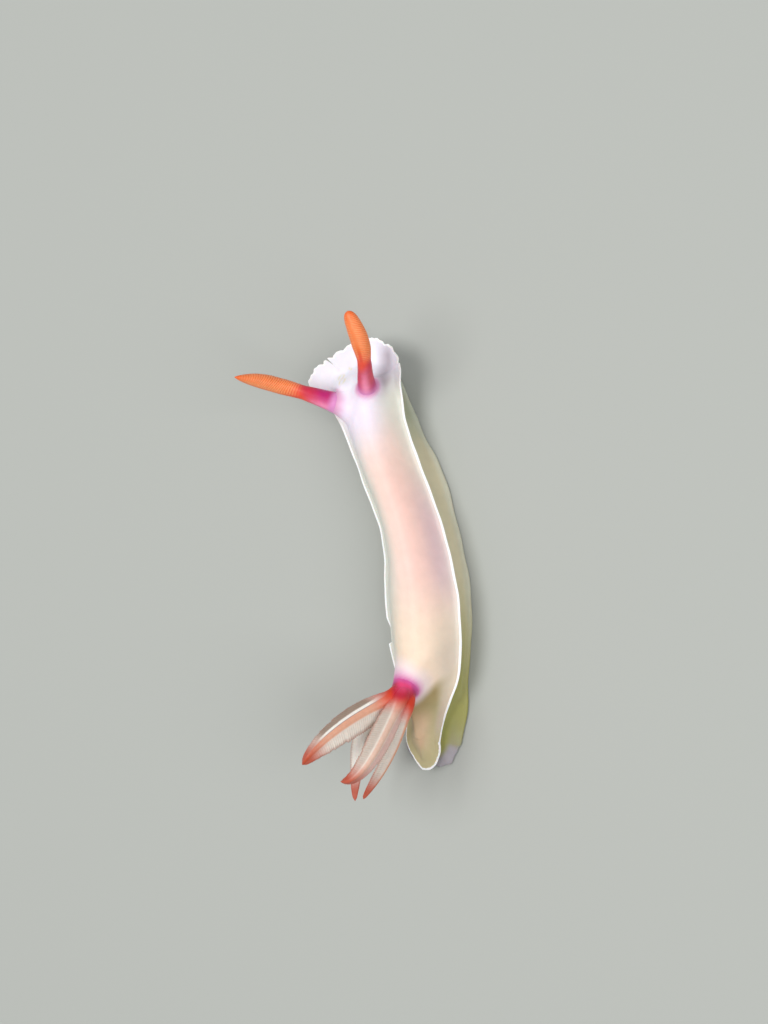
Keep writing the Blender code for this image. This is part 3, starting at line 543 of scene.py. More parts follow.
def lower_rows(station, side, settings):
    """Distances and heights from the rim round under the brim, down the flank, over the foot and under it."""
    rim = rim_radius(station, side, settings)
    apart = side * eased(station / 0.2) * eased((3 - station) / 0.2)
    fine = np.sin(57 * station) * eased((2.05 - station) / 0.1)
    edge = through(FOOT_RADIUS, station) + 0.06 * np.sin(23 * station + 2 * apart) + 0.04 * fine
    edge = edge + FOOT_SWELL * bell(station - FOOT_SWELL_STATION, 0.13) * (side > 0)
    flank = through(FLANK_RADIUS, station)
    at_rim = brim_middle(station, side, rim)
    start = rim - RIM_HALF
    inner = (rim + flank) / 2
    under = np.maximum(start - 0.3, inner + 0.08)
    roof_inner = brim_middle(station, side, inner) - BRIM_HALF
    roof = brim_middle(station, side, flank) - BRIM_HALF
    shoulder = np.minimum(FOOT_SHOULDER_HEIGHT, roof - 0.35)
    shoulder_out = edge - FOOT_SHOULDER_WIDTH
    waist_out = flank + FOOT_WAIST_OUT * (shoulder_out - flank)
    waist = shoulder + FOOT_WAIST_UP * (roof - shoulder)
    edge_up = np.minimum(FOOT_EDGE_HEIGHT, shoulder)
    rim_part = [(start, brim_middle(station, side, start) + RIM_HALF), (rim, at_rim + RIM_HALF),
                (rim, at_rim - RIM_HALF), (under, brim_middle(station, side, under) - BRIM_HALF)]
    flat = 0 * edge
    body_part = [(inner, roof_inner), (np.minimum(flank + 0.3, inner - 0.05), roof), (flank, roof - 0.15),
                 (flank, (roof + waist) / 2), (waist_out, waist),
                 ((waist_out + shoulder_out) / 2, (waist + shoulder) / 2 - 0.05), (shoulder_out, shoulder),
                 (edge, edge_up), (edge, flat + 0.1), (edge - SOLE_INSET, flat), (edge / 2, flat),
                 (flat, flat)]
    angle = np.clip(station, 0, 1) * math.pi / 2
    head = head_reach(angle)
    degrees = np.degrees(angle)
    lips = LIP_STAND * bell(degrees - LIP_ANGLE, LIP_SPREAD) - MOUTH_DEPTH * bell(degrees, MOUTH_SPREAD)
    head_part = [(np.maximum(inner, head + 0.9), roof_inner), (head * 0.9 + 0.35, roof),
                 (head * 0.8, roof - 0.12), (head + 0.6 * lips, flat + HEAD_MIDDLE + 0.45),
                 (head + lips, flat + HEAD_MIDDLE), (head + 0.6 * lips, flat + HEAD_MIDDLE - 0.5),
                 (head * 0.78, flat + FOREFOOT_TOP + 0.12),
                 (np.minimum(head, edge - 0.5), flat + FOREFOOT_TOP), (edge, flat + FOREFOOT_TOP - 0.05),
                 (edge, flat + 0.1), (edge / 2, flat), (flat, flat)]
    weight = eased((HEAD_END - station) / (HEAD_END - 1.0))
    mixed = [(a[0] * (1 - weight) + b[0] * weight, a[1] * (1 - weight) + b[1] * weight)
             for a, b in zip(body_part, head_part)]
    controls = np.array(rim_part + mixed).transpose(2, 0, 1)
    points = rounded(controls, CORNER_STEPS)
    return points[..., 0], points[..., 1]


def distance_to_axis(points, root, way):
    """Distances of points from the line through the root, and how far along it they lie."""
    offset = points - np.array(root)
    forward = offset @ way
    return np.linalg.norm(offset - forward[..., None] * way, axis=-1), forward


def drawn_up(points, root, way, radius, stand):
    """Brings points near an axis to one height along it: by the third power of how near they are, so that the
    skin leaves its own slope softly and ends as a steep collar, level all round, at the radius given."""
    d, forward = distance_to_axis(points, root, way)
    near = np.clip((radius + ROOT_REACH - d) / ROOT_REACH, 0, 1) ** 3
    near = near * plateau(forward, *RISE_ENDS)
    return points + (near * (stand - forward))[..., None] * way


def root_ways():
    """The roots, each as its place, direction, collar's radius and height, and the reaches of its colours."""
    return [(np.array(route[0]), unit(np.array(route[1]) - np.array(route[0])), radius, stand, reaches)
            for route, radius, stand, reaches in ROOTS]


def hood_relief(points):
    """Height added to the mantle at a place in plan: a bell-shaped groove inside the hood's right rim, and a
    rise of the rim outside it, both fading at the fold's ends."""
    across, ahead = points[..., 0], points[..., 1]
    length = plateau(ahead, *FOLD_ENDS)
    groove = -FOLD_DEPTH * bell(across - FOLD_ACROSS, FOLD_SPREAD)
    lift = RIM_LIFT * eased((across - FOLD_ACROSS - 0.4) / 1.4)
    return (groove + lift) * length * eased((points[..., 2] - 2.3) / 1.0)


def on_face(rows):
    return (rows >= FACE_ROWS[0]) & (rows < FACE_ROWS[1])


def skin_half(side, settings):
    """One side of the skin, as points by (station, row) and its masks.

    A row runs from the crest over the dome and the brim, round the rim, under it, down the flank, over the
    foot's edge and in under the sole. The sections are square to the spine, and fan round the head and tail.
    """
    station = np.unique(np.round(np.concatenate([np.linspace(*run) for run in STATION_RUNS]), 6))
    r_top, z_top = top_rows(station, side, settings)
    r_low, z_low = lower_rows(station, side, settings)
    r = np.concatenate([r_top, r_low], axis=1)
    z = np.concatenate([z_top, z_low], axis=1)
    rows = np.arange(r.shape[1]) - r_top.shape[1]
    centre, way = section_ways(station, side)
    plan = centre[:, None, :] + way[:, None, :] * r[..., None]
    points = np.concatenate([plan, z[..., None]], axis=2)
    masks = skin_masks(points, station[:, None], side, r, z, rows, settings)
    points += tentacle(station, way, r, z, rows)
    points[..., 2] += hood_relief(points)
    for root, axis, radius, stand, _ in root_ways():
        points[:, rows < BRIM_END] = drawn_up(points[:, rows < BRIM_END], root, axis, radius, stand)
    return points, masks


def tentacle(station, way, r, z, rows):
    """How far an oral tentacle moves the face: outwards, by an amount that falls with the fourth power of the
    distance from the tentacle's middle."""
    turn = math.radians(TENTACLE_TURN)
    sideways = (np.clip(station, 0, 1) * math.pi / 2 - turn) * head_reach(turn)
    d = np.hypot(sideways[:, None], z - HEAD_MIDDLE)
    near = np.exp(-(d / TENTACLE_RADIUS) ** 4) * on_face(rows) * (r < head_reach(turn) + 0.3)
    out = np.concatenate([TENTACLE_LENGTH * way, np.full((len(way), 1), -TENTACLE_DROOP)], axis=1)
    return near[..., None] * out[:, None]


def root_masks(points, rows):
    """Colour round the roots: how near a place is to where something grows out, at three distances."""
    masks = {}
    for root, way, radius, _, reaches in root_ways():
        d, forward = distance_to_axis(points, root, way)
        near = plateau(forward, *ROOT_COLOUR_ENDS) * (rows < BRIM_END)
        for mask, reach in zip(("veil", "halo", "root"), reaches):
            here = near * eased((radius + reach - d) / max(reach, 0.01)) * (reach > 0)
            masks[mask] = np.maximum(masks.get(mask, 0), here)
    return masks


def skin_masks(points, station, side, r, z, rows, settings):
    """How strongly each marking shows at each point, from 0 to 1, worked out from stations and distances.

    x runs from 0 on the crest to 1 at the right rim and -1 at the left one.
    """
    rim = rim_radius(station, side, settings)
    upper = (rows < RIM_END) + 0 * r
    x = side * r / rim
    masks = {mask: spread(station, lengthways) * spread(x, across) * upper
             for mask, (lengthways, across) in BACK_MARKS.items()}
    masks["hood"] = eased((1.07 - station) / 0.1) * eased((z - 0.95) / 1.2)
    degrees = 90 * np.clip(station, 0, 1)
    face = on_face(rows) * (1 - eased((station - 0.9) / 0.2))
    masks["lips"] = face * bell(degrees - LIP_ANGLE, LIP_SPREAD + 2) * bell(z - HEAD_MIDDLE, 0.6)
    masks["mouth"] = face * bell(degrees, MOUTH_SPREAD + 0.6) * bell(z - HEAD_MIDDLE, 0.7)

    width = settings.edge_line / MM * (1 + 0.15 * np.sin(41 * station + side) * np.sin(17 * station))
    width = width * (1 - 0.5 * plateau(station, *LINE_THIN[side]))
    line = eased((width - (rim - r)) / 0.06 + 0.5) * upper * (1 - eased((rows - 7) / 3))
    masks["line"] = line * (1 - (side < 0) * sum(plateau(station, *ends) for ends in LINE_GAPS))

    # Painted shade along the groove inside the hood's right rim.
    fold_length = plateau(points[..., 1], *FOLD_SHADE_ENDS)
    masks["fold"] = bell(points[..., 0] - FOLD_ACROSS, 0.8) * fold_length * upper
    masks["ring"] = 0 * r
    for place, size in RING_MARKS:
        across, ahead = points[..., 0] - place[0], points[..., 1] - place[1]
        uneven = 0.6 + 0.4 * np.sin(2 * np.arctan2(ahead, across) + place[1])
        masks["ring"] = np.maximum(masks["ring"], bell(np.hypot(across, ahead) - size, 0.13) * uneven * upper)
    masks.update(root_masks(points, rows))

    below = eased((rows - 9) / 4) * (1 - masks["hood"])
    masks["flank"] = below
    # The side's grey green and olive are partly painted shade and painted green reflection.
    masks["front"] = below * eased((1.24 - station) / 0.14)
    masks["olive"] = below * eased((station - 1.5) / 0.4)
    foot = (rows > BRIM_END) * (z < 0.9)
    at_edge = eased((0.6 - (through(FOOT_RADIUS, station) - r)) / 0.5)
    masks["foot_edge"] = foot * at_edge * eased((1.85 - station) / 0.3)
    masks["tail_edge"] = foot * eased((r - 1.7) / 0.8) * plateau(station, 1.9, 2.15, 2.95, 3.1)
    fold_line = REAR_FOLD - REAR_FOLD_SLANT * side * r
    behind = eased((station - fold_line) / 0.03) * upper
    masks["tail"] = behind
    masks["ridge"] = behind * bell(x + 0.05, 0.42) * eased((station - 1.89) / 0.05)
    masks["shade"] = behind * eased((fold_line + 0.1 - station) / 0.09) * plateau(x, -0.8, -0.4, 0.45, 0.75)
    return masks


def placed(name, data):
    """A new object in the scene."""
    made = bpy.data.objects.new(name, data)
    bpy.context.scene.collection.objects.link(made)
    return made


def new_mesh_object(name, points, faces, masks):
    """An object of BODY from points in millimetres as spine coordinates, with its masks as attributes."""
    shift = np.array([*PLAN_CENTRE, 0])
    mesh = bpy.data.meshes.new(name)
    mesh.from_pydata(((points - shift) * MM).tolist(), [], faces.tolist())
    for mask, values in masks.items():
        attribute = mesh.attributes.new(mask, "FLOAT", "POINT")
        attribute.data.foreach_set("value", np.asarray(values, np.float32).ravel())
    shape = bmesh.new()
    shape.from_mesh(mesh)
    bmesh.ops.remove_doubles(shape, verts=shape.verts, dist=WELD)
    bmesh.ops.dissolve_degenerate(shape, edges=shape.edges, dist=WELD)
    bmesh.ops.recalc_face_normals(shape, faces=shape.faces)
    if shape.calc_volume(signed=True) < 0:
        bmesh.ops.reverse_faces(shape, faces=shape.faces)
    shape.to_mesh(mesh)
    shape.free()
    mesh.shade_smooth()
    made = placed(name, mesh)
    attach(made, BODY)
    return made


def grid_faces(rows, columns, start=0, wrap=False, flip=False):
    """Squares between neighbouring points of a grid, closed round on itself where it wraps."""
    across = columns if wrap else columns - 1
    i, j = np.meshgrid(np.arange(rows - 1), np.arange(across), indexing="ij")
    a = start + i * columns + j
    b = start + i * columns + (j + 1) % columns
    faces = np.stack([a, b, b + columns, a + columns], -1).reshape(-1, 4)
    return faces[:, ::-1] if flip else faces


def add_node(tree, kind, links=(), **settings):
    """Adds a node. settings: its properties, or its inputs as in0, in1 and so on. links: (socket, input)."""
    node = tree.nodes.new(kind)
    for key, value in settings.items():
        if key[:2] == "in" and key[2:].isdigit():
            node.inputs[int(key[2:])].default_value = value
        else:
            setattr(node, key, value)
    for source, target in links:
        tree.links.new(source, node.inputs[target])
    return node


def new_material(name):
    """A material with one Principled shader, and its node tree."""
    material = bpy.data.materials.new(name)
    material.use_nodes = True
    return material, material.node_tree, material.node_tree.nodes["Principled BSDF"]


def painted(tree, settings, table):
    """A colour socket: the table's ground, and over it each other colour, mixed in by its own mask."""
    ground, *layers = table
    colour = add_node(tree, "ShaderNodeMix", data_type="RGBA", in0=0.0, in6=(*getattr(settings, ground), 1))
    for key in layers:
        mask = add_node(tree, "ShaderNodeAttribute", attribute_name=key).outputs["Fac"]
        share = add_node(tree, "ShaderNodeMath", [(mask, 0)], operation="MULTIPLY", in1=table[key][1],
                         use_clamp=True)
        colour = add_node(tree, "ShaderNodeMix", [(share.outputs[0], 0), (colour.outputs[2], 6)],
                          data_type="RGBA", in7=(*getattr(settings, key), 1))
    return colour.outputs[2]


def soft_noise(tree, width_mm, detail):
    """Noise on Object coordinates, in soft spots of the width given."""
    place = add_node(tree, "ShaderNodeTexCoord").outputs["Object"]
    noise = add_node(tree, "ShaderNodeTexNoise", [(place, "Vector")])
    noise.inputs["Scale"].default_value = 1 / (width_mm * MM)
    noise.inputs["Detail"].default_value = detail
    return noise.outputs["Fac"]


def clouded(tree, colour, width_mm, amount):
    """The colour, made lighter and darker by soft clouds of the width given."""
    value = add_node(tree, "ShaderNodeMapRange", [(soft_noise(tree, width_mm, 3.0), 0)], in1=0.3, in2=0.7,
                     in3=1 - amount, in4=1 + amount)
    links = [(value.outputs[0], "Value"), (colour, "Color")]
    return add_node(tree, "ShaderNodeHueSaturation", links).outputs[0]


def bumped(tree, width_mm, height_mm):
    """A bump normal of fine soft wrinkles with the width and height given."""
    bump = add_node(tree, "ShaderNodeBump", [(soft_noise(tree, width_mm, 2.0), "Height")])
    bump.inputs["Strength"].default_value = 0.5
    bump.inputs["Distance"].default_value = height_mm * MM
    return bump.outputs[0]


def moist_flesh(name, settings, table, clouds, wrinkles, roughness, scatter_mm, scatter):
    """Wet flesh: a table's colours in soft clouds (width, amount), fine wrinkles (width, height), and light
    scattered below the surface, under a thin clear film."""
    material, tree, shader = new_material(name)
    tree.links.new(clouded(tree, painted(tree, settings, table), *clouds), shader.inputs["Base Color"])
    tree.links.new(bumped(tree, *wrinkles), shader.inputs["Normal"])
    values = {"Roughness": roughness, "IOR": 1.38, "Subsurface Weight": scatter,
              "Subsurface Radius": (1.0, 0.62, 0.5), "Subsurface Scale": scatter_mm * MM, "Coat Weight": 0.15,
              "Coat Roughness": 0.35, "Coat IOR": 1.34}
    for socket, value in values.items():
        shader.inputs[socket].default_value = value
    return material


def make_skin(settings):
    """The whole skin: both halves of it, joined along the crest, the sole and the two ends."""
    all_points, all_faces, masks, start = [], [], {}, 0
    for side in (-1, 1):
        points, half_masks = skin_half(side, settings)
        rows, columns = points.shape[:2]
        all_points.append(points.reshape(-1, 3))
        all_faces.append(grid_faces(rows, columns, start, flip=side > 0))
        for mask, values in half_masks.items():
            masks.setdefault(mask, []).append(np.broadcast_to(values, (rows, columns)).ravel())
        start += rows * columns
    masks = {mask: np.clip(np.concatenate(values), 0, 1) for mask, values in masks.items()}
    skin = new_mesh_object("skin", np.concatenate(all_points), np.concatenate(all_faces), masks)
    # Wet translucent slug skin: soft clouds of organs below, an opaque white line, magenta at the roots.
    skin.data.materials.append(moist_flesh("moist_translucent_skin", settings, SKIN_COLOURS,
                                           (settings.mottle / MM, 0.03), (settings.wrinkle / MM, 0.012),
                                           0.52, 0.35, 0.3))
    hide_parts(*[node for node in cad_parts
                        if node.startswith(("mantle_", "foot_", "head", "oral_"))])
    return skin


def closed_tube(name, rings, masks):
    """An object through rings of points (ring, point), each end of it drawn together to its ring's middle."""
    first, last = (np.broadcast_to(ring.mean(axis=0), ring.shape)[None] for ring in (rings[0], rings[-1]))
    points = np.concatenate([first, rings, last])
    faces = grid_faces(*points.shape[:2], wrap=True)
    masks = {mask: np.pad(np.broadcast_to(values, rings.shape[:2]), ((1, 1), (0, 0)), "edge")
             for mask, values in masks.items()}
    return new_mesh_object(name, points.reshape(-1, 3), faces, masks)


def make_rhinophore(side_name, route, across, club_start, swell, stand, settings):
    """One rhinophore: a round stalk that turns into a flat club, whose radius swells at each lamella."""
    foot = stand / np.linalg.norm(np.diff(route, axis=0), axis=1).sum()
    sunk = np.linspace(-ROOT_SUNK, 0, 5)[:-1]
    stalk_share = np.linspace(0, club_start, 45)[:-1]
    club_share = np.linspace(0, 1, settings.lamellae * LAMELLA_RINGS + 1)
    share = np.concatenate([0 * sunk, stalk_share, club_start + (1 - club_start) * club_share])
    up_club = np.clip((share - club_start) / (1 - club_start), 0, 1)
    way = direction(route, share)
    middle = along(route, share)
    middle[:len(sunk)] += sunk[:, None] * way[:len(sunk)]
    across = np.array(across, float)
    wide = unit(across - (way @ across)[:, None] * way)
    deep = np.cross(way, wide)
    flat = eased((share - club_start + 0.08) / 0.16)
    stalk = through(STALK_RADIUS, share)
    half_wide = stalk * (1 - flat) + flat * CLUB_WIDTH / 2 * through(swell, up_club)
    half_deep = stalk * (1 - flat) + flat * CLUB_DEPTH / 2 * through(swell, up_club)
    turn = np.linspace(0, 2 * math.pi, RHINOPHORE_SIDES, endpoint=False)
    ridge = (np.abs(np.sin(math.pi * settings.lamellae * up_club)) ** 0.7)[:, None]
    on_club = (eased(up_club / 0.16) * eased((1 - up_club) / 0.1))[:, None]
    fades = 1 - 0.85 * bell(np.abs(np.sin(turn)) - 1, 0.03)
    size = 1 - (1 - settings.groove) * ((1 - ridge) * on_club) * fades
    sideways = half_wide[:, None] * np.cos(turn) * size
    forwards = half_deep[:, None] * np.sin(turn) * size
    slant = math.tan(math.radians(CLUB_SLANT)) * np.clip(3 * np.minimum(up_club, 1 - up_club), 0, 1)
    drop = slant[:, None] * forwards
    rings = (middle[:, None] + sideways[..., None] * wide[:, None] + forwards[..., None] * deep[:, None]
             - drop[..., None] * way[:, None])
    rear = bell(turn - math.radians(FACES_REAR), 0.58)
    lit = bell(turn - math.radians(FACES_LIGHT), 1.1)
    ahead = bell(turn - math.radians(FACES_AHEAD), 0.9)
    share = share[:, None]
    late = club_start - MIDDLE_CLUB_START
    fade = 0.24 * club_start
    masks = {"ridge": ridge * on_club * fades,
             "base": eased((foot + 0.8 * fade - share - fade * ahead) / fade),
             # The pale mask is a painted highlight along the stalk's rear, the side that faces the light.
             "pale": eased((foot + 1.1 * club_start - share) / club_start) * rear,
             "sheen": rear * eased((share - late - 0.5) / 0.12),
             "stalk": eased((share - 0.12 + 0.06 * rear) / 0.14),
             "neck": eased((share - late - 0.35 + 0.12 * lit) / 0.14),
             "club": eased((share - late - 0.44) / 0.12),
             "tip": eased((up_club[:, None] - 0.75) / 0.25)}
    made = closed_tube("rhinophore_" + side_name, rings, masks)
    # Moist orange flesh in thin plates, whose paler edges catch the light and turn the club finely ringed.
    made.data.materials.append(moist_flesh("moist_lamellate_flesh", settings, RHINOPHORE_COLOURS, (0.5, 0.05),
                                           (0.1, 0.01), 0.4, 0.25, 0.25))
    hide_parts("rhinophore_stalk_" + side_name, "rhinophore_club_" + side_name)
    return made


def gill_frame():
    """The stem's direction, and two directions square to it that read as 0 and 90 degrees on its clock."""
    way = unit(np.array(GILL_HUB) - np.array(GILL_BASE))
    zero = np.array([1.0, 0, 0])
    zero = unit(zero - zero.dot(way) * way)
    return way, zero, np.cross(way, zero)


def bezier_shares(count, t):
    """The Bernstein polynomials: how much each of the count control points weighs at the parameters t."""
    t = np.asarray(t, float)[:, None]
    i = np.arange(count)
    choices = np.array([math.comb(count - 1, k) for k in i])
    return choices * t ** i * (1 - t) ** (count - 1 - i)


def branch_path(tip, places, clock):
    """A branch's middle line: the Bezier curve that leaves the crown along the stem, passes the places at
    equal steps of its parameter, and ends at the tip."""
    way, zero, ninety = gill_frame()
    angle = math.radians(clock)
    hub = np.array(GILL_HUB)
    root = hub + BRANCH_RING * (zero * math.cos(angle) + ninety * math.sin(angle))
    known = np.array([root, root + way * BRANCH_RISE, hub + np.array(tip)])
    count = len(places) + 3
    shares = bezier_shares(count, np.arange(1, len(places) + 1) / (len(places) + 1))
    missing = hub + np.array(places) - shares[:, [0, 1, -1]] @ known
    between = np.linalg.solve(shares[:, 2:-1], missing)
    return bezier_shares(count, np.linspace(0, 1, 61)) @ np.concatenate([known[:2], between, known[2:]])


def crown_masks(points):
    """Colours that the stem and the branches' roots share: pink up to a height that falls as the square of
    the way out from the stem's middle, crimson a little further up, and purple at the foot of its sides."""
    way, zero, ninety = gill_frame()
    offset = points - np.array(GILL_HUB)
    height = offset @ way
    sideways = offset @ (zero * math.cos(math.radians(22)) - ninety * math.sin(math.radians(22)))
    limit = 0.15 - 1.2 * (sideways - 0.15) ** 2
    # Pink reaching highest in the stem's middle is partly painted highlight.
    return {"pink": eased((limit - height) / 1.6 + 0.5), "crimson": eased((limit + 1.2 - height) / 1.2 + 0.5),
            # Purple at the foot of the stem's sides is painted shade.
            "purple": eased((np.abs(sideways) - 0.6) / 0.6) * eased((-0.2 - height) / 1.0),
            "base": eased((-0.7 - height) / 0.6)}


def make_gill_stem(settings):
    """The stem: a round tube whose section grows six lobes towards its top, one for each branch's root."""
    way, zero, ninety = gill_frame()
    length = np.linalg.norm(np.array(GILL_HUB) - np.array(GILL_BASE))
    up = np.linspace(0, 1, 48)
    turn = np.linspace(0, 2 * math.pi, STEM_SIDES, endpoint=False)
    lobes = sum(bell((turn - math.radians(branch[3]) + math.pi) % (2 * math.pi) - math.pi, 0.4)
                for branch in GILL_BRANCHES)
    radius = through(STEM_RADIUS, up)[:, None]
    lobed = eased((up - 0.3) / 0.4)[:, None]
    radius = radius * (1 - 0.1 * lobed + 0.14 * lobed * lobes)
    cap = np.sqrt(np.clip(1 - (np.clip(up - 0.6, 0, 1) / 0.405) ** 2, 0.02, 1))[:, None]
    height = -0.7 + (length + 2.4) * up
    rings = (np.array(GILL_BASE) + height[:, None, None] * way
             + (radius * cap)[..., None] * (np.cos(turn)[:, None] * zero + np.sin(turn)[:, None] * ninety))
    made = closed_tube("gill_stem_skin", rings, crown_masks(rings))
    # Smooth wet flesh, crimson above and hot pink at its root, with a painted highlight up its middle and
    # painted purple shade at its sides.
    made.data.materials.append(moist_flesh("moist_crimson_flesh", settings, STEM_COLOURS, (0.6, 0.05),
                                           (0.15, 0.012), 0.38, 0.25, 0.25))
    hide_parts("gill_stem")
    return made


def make_branch(number, tip, places, breadth, clock, turned, settings):
    """One gill branch: a three-edged rachis whose two wings rise and fall with every leaflet along them.

    A section's radius is the rachis's own, plus a push that peaks at the wings' angle and swells at each
    leaflet. The branch starts inside the stem, close to its axis, and leaves it at a slant.
    """
    path = branch_path(tip, places, clock)
    leaf_share = np.linspace(LEAFLETS_FROM, LEAFLETS_TO, settings.leaflets * LEAFLET_RINGS + 1)
    inside = np.linspace(-1, 0, 9)[:-1]
    share = np.concatenate([0 * inside, np.linspace(0, LEAFLETS_FROM, 9)[:-1], leaf_share,
                            np.linspace(LEAFLETS_TO, 1, 7)[1:]])
    place = along(path, share)
    way = direction(path, share, 0.02)
    inward = unit(np.array(GILL_HUB) - path[0])
    deep = inside[:, None]
    place[:len(inside)] += deep * way[0] * BRANCH_SUNK + deep ** 2 * inward * BRANCH_INSET
    outer = np.array(tip) - np.mean([branch[0] for branch in GILL_BRANCHES], axis=0)
    ridge = unit(outer - (way @ outer)[:, None] * way)
    ridge = (math.cos(math.radians(turned)) * ridge - math.sin(math.radians(turned)) * np.cross(way, ridge))
    core = through(BRANCH_RADII, share) * np.sqrt(np.clip((1.001 - share) / 0.03, 0, 1))
    core[:len(inside)] *= 1 + BRANCH_TAPER * inside
    reach = np.maximum(breadth / 2 / math.sin(math.radians(WING_ANGLE)) - core, 0.05)
    swell = through(WING_GROWTH, share)
    phase = settings.leaflets * (share - LEAFLETS_FROM) / (LEAFLETS_TO - LEAFLETS_FROM)
    in_leaves = (phase >= 0) & (phase <= settings.leaflets)
    crest = np.where(in_leaves, np.abs(np.sin(math.pi * phase)) ** 0.6, 0)
    draw = np.random.default_rng(number)
    longer = 1 + 0.03 * draw.standard_normal(settings.leaflets + 1)
    each = longer[np.clip(phase.astype(int), 0, settings.leaflets)]
    grown = np.where(in_leaves, (settings.groove + (1 - settings.groove) * crest) * each, settings.groove)
    grown = grown * eased(share / LEAFLETS_FROM) * eased((1 - share) / (1 - LEAFLETS_TO))
    half = np.unique(np.concatenate([np.linspace(*run) for run in SECTION_RUNS]))
    degrees = np.concatenate([half, -half[-2:0:-1]])
    outline = through(WING_OUTLINE, np.abs(degrees))
    leading = float(number == 1)
    upper_wing = UPPER_WING if leading else 1
    push = (grown * reach * swell)[:, None] * outline * np.where(degrees > 0, upper_wing, 1)
    angle = np.radians(degrees)[:, None]
    outward = np.cos(angle) * ridge[:, None] + np.sin(angle) * np.cross(way, ridge)[:, None]
    lean = (push * LEAFLET_LEAN)[..., None] * way[:, None]
    rings = place[:, None] + outward * (core[:, None] + push)[..., None] + lean
    size = np.abs(degrees)
    second = float(number == 2)
    share = share[:, None]
    lined = leading * plateau(share, 0.12, 0.26, 0.66, 0.8)
    ridge_ends = (-74, -56, 20, 32) if leading else (-66, -34, 22, 50)
    masks = {"rachis": plateau(degrees, *ridge_ends) * (1 - 0.4 * second),
             "inner": eased((size - 120) / 12),
             "blush": second * eased((-degrees - 48) / 20) * eased((130 + degrees) / 10),
             "band": plateau(degrees, 26, 32, 66, 80) * lined,
             # Painted shade on the leading branch's upper wing and the second branch's left wing.
             "dull": (plateau(degrees, 68, 84, 118, 130) * lined
                      + 0.45 * second * plateau(degrees, 46, 70, 118, 130)),
             "seam": bell(degrees - 27, 5) * lined,
             "edge": plateau(outline, 0.7, 0.95, 1.5, 2) * eased(share / 0.2),
             # Grey between the leaflets is painted shade in the grooves.
             "between": (1 - crest)[:, None] * eased(outline / 0.3) * eased((132 - size) / 12),
             "fork": eased((0.27 - share) / 0.22), "tip": eased((share - 0.66) / 0.26), **crown_masks(rings)}
    made = closed_tube(f"gill_branch_{number}_leaflets", rings, masks)
    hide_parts(f"gill_branch_{number}")
    return made


def make_stage(settings):
    """The floor, a large soft light on the left, a weaker one on the right, a plain sky and the camera."""
    sides = (-FLOOR_HALF, FLOOR_HALF)
    mesh = bpy.data.meshes.new("floor")
    mesh.from_pydata([(x, y, FLOOR_LEVEL) for y in sides for x in sides], [], [(0, 1, 3, 2)])
    floor = placed("floor", mesh)
    # Matt studio floor, with no gloss to reflect the model.
    material, _, shader = new_material("matt_pale_floor")
    shader.inputs["Base Color"].default_value = (*settings.floor, 1)
    shader.inputs["Roughness"].default_value = 0.85
    mesh.materials.append(material)

    world = bpy.data.worlds.new("plain_surroundings")
    world.use_nodes = True
    world.node_tree.nodes["Background"].inputs["Color"].default_value = (1, 1, 1, 1)
    world.node_tree.nodes["Background"].inputs["Strength"].default_value = settings.sky
    bpy.context.scene.world = world
    bpy.context.scene.view_settings.view_transform = "Standard"

    for name, place, power in (("key_light", KEY_PLACE, settings.key_power),
                               ("fill_light", FILL_PLACE, settings.fill_power)):
        light = bpy.data.lights.new(name, "AREA")
        light.shape = "DISK"
        light.size = LIGHT_SIZE
        light.energy = power
        lamp = placed(name, light)
        lamp.location = place
        lamp.rotation_euler = Vector(place).to_track_quat("Z", "Y").to_euler()

    tilt = settings.camera_tilt
    toward = Vector((math.sin(tilt), 0, math.cos(tilt)))
    right = Vector((math.cos(tilt), 0, -math.sin(tilt)))
    ahead = Vector((0, 1, 0))
    aim = Vector((-PLAN_CENTRE[0] * MM, -PLAN_CENTRE[1] * MM, 0))
    data = bpy.data.cameras.new("camera")
    data.sensor_fit = "VERTICAL"
    data.sensor_height = 36
    data.lens = data.sensor_height * settings.camera_distance / settings.frame_height
    data.clip_start = 0.005
    camera = placed("camera", data)
    camera.matrix_world = (Matrix.Translation(aim + toward * settings.camera_distance)
                           @ Matrix((right, ahead, toward)).transposed().to_4x4())
    bpy.context.scene.camera = camera


class DORID_OT_make_skin(bpy.types.Operator):
    """Make the one skin of the mantle, the foot and the head"""

    bl_idname = "dorid.make_skin"
    bl_label = "Make the skin"

    def execute(self, context):
        make_skin(context.scene.dorid_skin)
        return {"FINISHED"}


class DORID_OT_make_rhinophores(bpy.types.Operator):
    """Make the two ringed feelers"""

    bl_idname = "dorid.make_rhinophores"
    bl_label = "Make the rhinophores"

    def execute(self, context):
        settings = context.scene.dorid_rhinophores
        for values in RHINOPHORES:
            make_rhinophore(*values, settings)
        return {"FINISHED"}


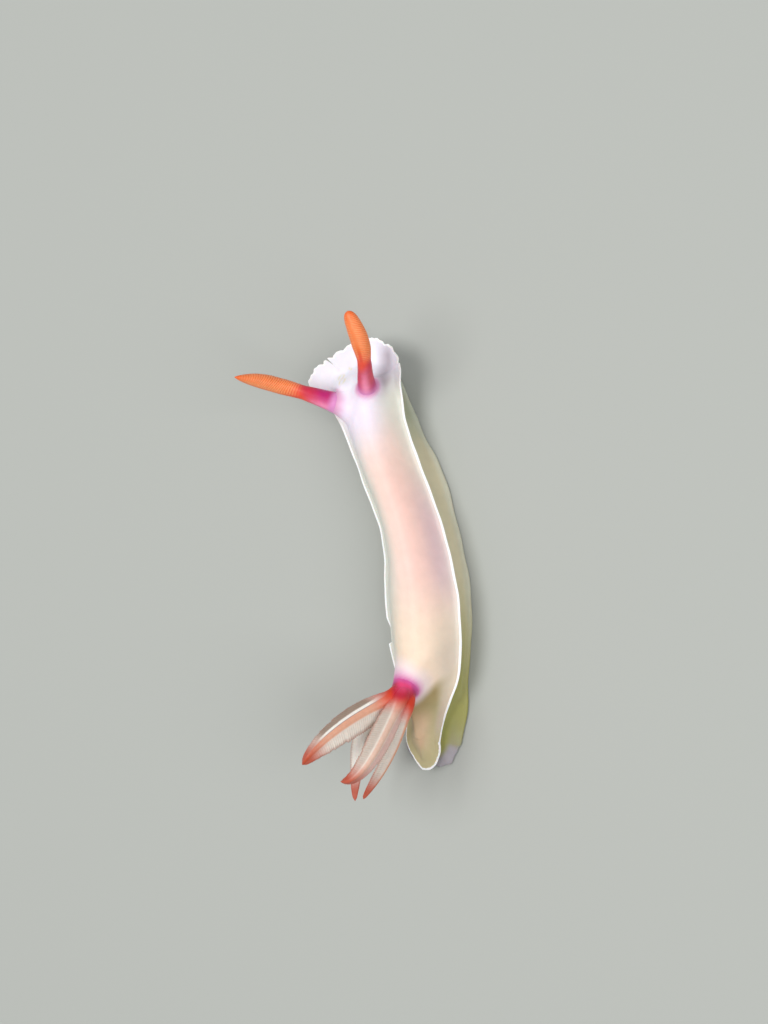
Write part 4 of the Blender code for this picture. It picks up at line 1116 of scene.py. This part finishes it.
class DORID_OT_make_gill(bpy.types.Operator):
    """Make the gill's stem and its six branches"""

    bl_idname = "dorid.make_gill"
    bl_label = "Make the gill"

    def execute(self, context):
        settings = context.scene.dorid_gill
        make_gill_stem(settings)
        # Thin moist gill flesh: cream leaflets with painted grey shade in the grooves between them, painted
        # brown shade on some wings, a salmon ridge and brownish edges.
        material = moist_flesh("moist_gill_flesh", settings, BRANCH_COLOURS, (0.4, 0.05), (0.08, 0.008), 0.42,
                               0.2, 0.25)
        for number, (tip, places, breadth, clock, turned) in enumerate(GILL_BRANCHES, 1):
            branch = make_branch(number, tip, places, breadth, clock, turned, settings)
            branch.data.materials.append(material)
        return {"FINISHED"}


class DORID_OT_make_stage(bpy.types.Operator):
    """Make the floor, the lights and the camera"""

    bl_idname = "dorid.make_stage"
    bl_label = "Make the stage"

    def execute(self, context):
        make_stage(context.scene.dorid_stage)
        return {"FINISHED"}


class DORID_PT_panel(bpy.types.Panel):
    """Lists the model's sizes, colours and steps"""

    bl_label = "Lavender dorid"
    bl_space_type = "VIEW_3D"
    bl_region_type = "UI"
    bl_category = "Dorid"

    def draw(self, context):
        for name, operator in STEPS:
            group = getattr(context.scene, name)
            section = self.layout.box()
            for key in group.bl_rna.properties.keys():
                if key not in ("rna_type", "name"):
                    section.prop(group, key)
            section.operator(operator)


SETTINGS = {"dorid_stage": DoridStageSettings, "dorid_skin": DoridSkinSettings,
            "dorid_rhinophores": DoridRhinophoreSettings, "dorid_gill": DoridGillSettings}
STEPS = [("dorid_stage", "dorid.make_stage"), ("dorid_skin", "dorid.make_skin"),
         ("dorid_rhinophores", "dorid.make_rhinophores"), ("dorid_gill", "dorid.make_gill")]
CLASSES = [*SETTINGS.values(), DORID_OT_make_stage, DORID_OT_make_skin, DORID_OT_make_rhinophores,
           DORID_OT_make_gill, DORID_PT_panel]


def register():
    for kind in CLASSES:
        bpy.utils.register_class(kind)
    for name, kind in SETTINGS.items():
        setattr(bpy.types.Scene, name, PointerProperty(type=kind))


def unregister():
    for name in SETTINGS:
        delattr(bpy.types.Scene, name)
    for kind in reversed(CLASSES):
        bpy.utils.unregister_class(kind)


def main():
    register()
    bpy.ops.dorid.make_stage()
    bpy.ops.dorid.make_skin()
    bpy.ops.dorid.make_rhinophores()
    bpy.ops.dorid.make_gill()


if __name__ == "__main__":
    main()
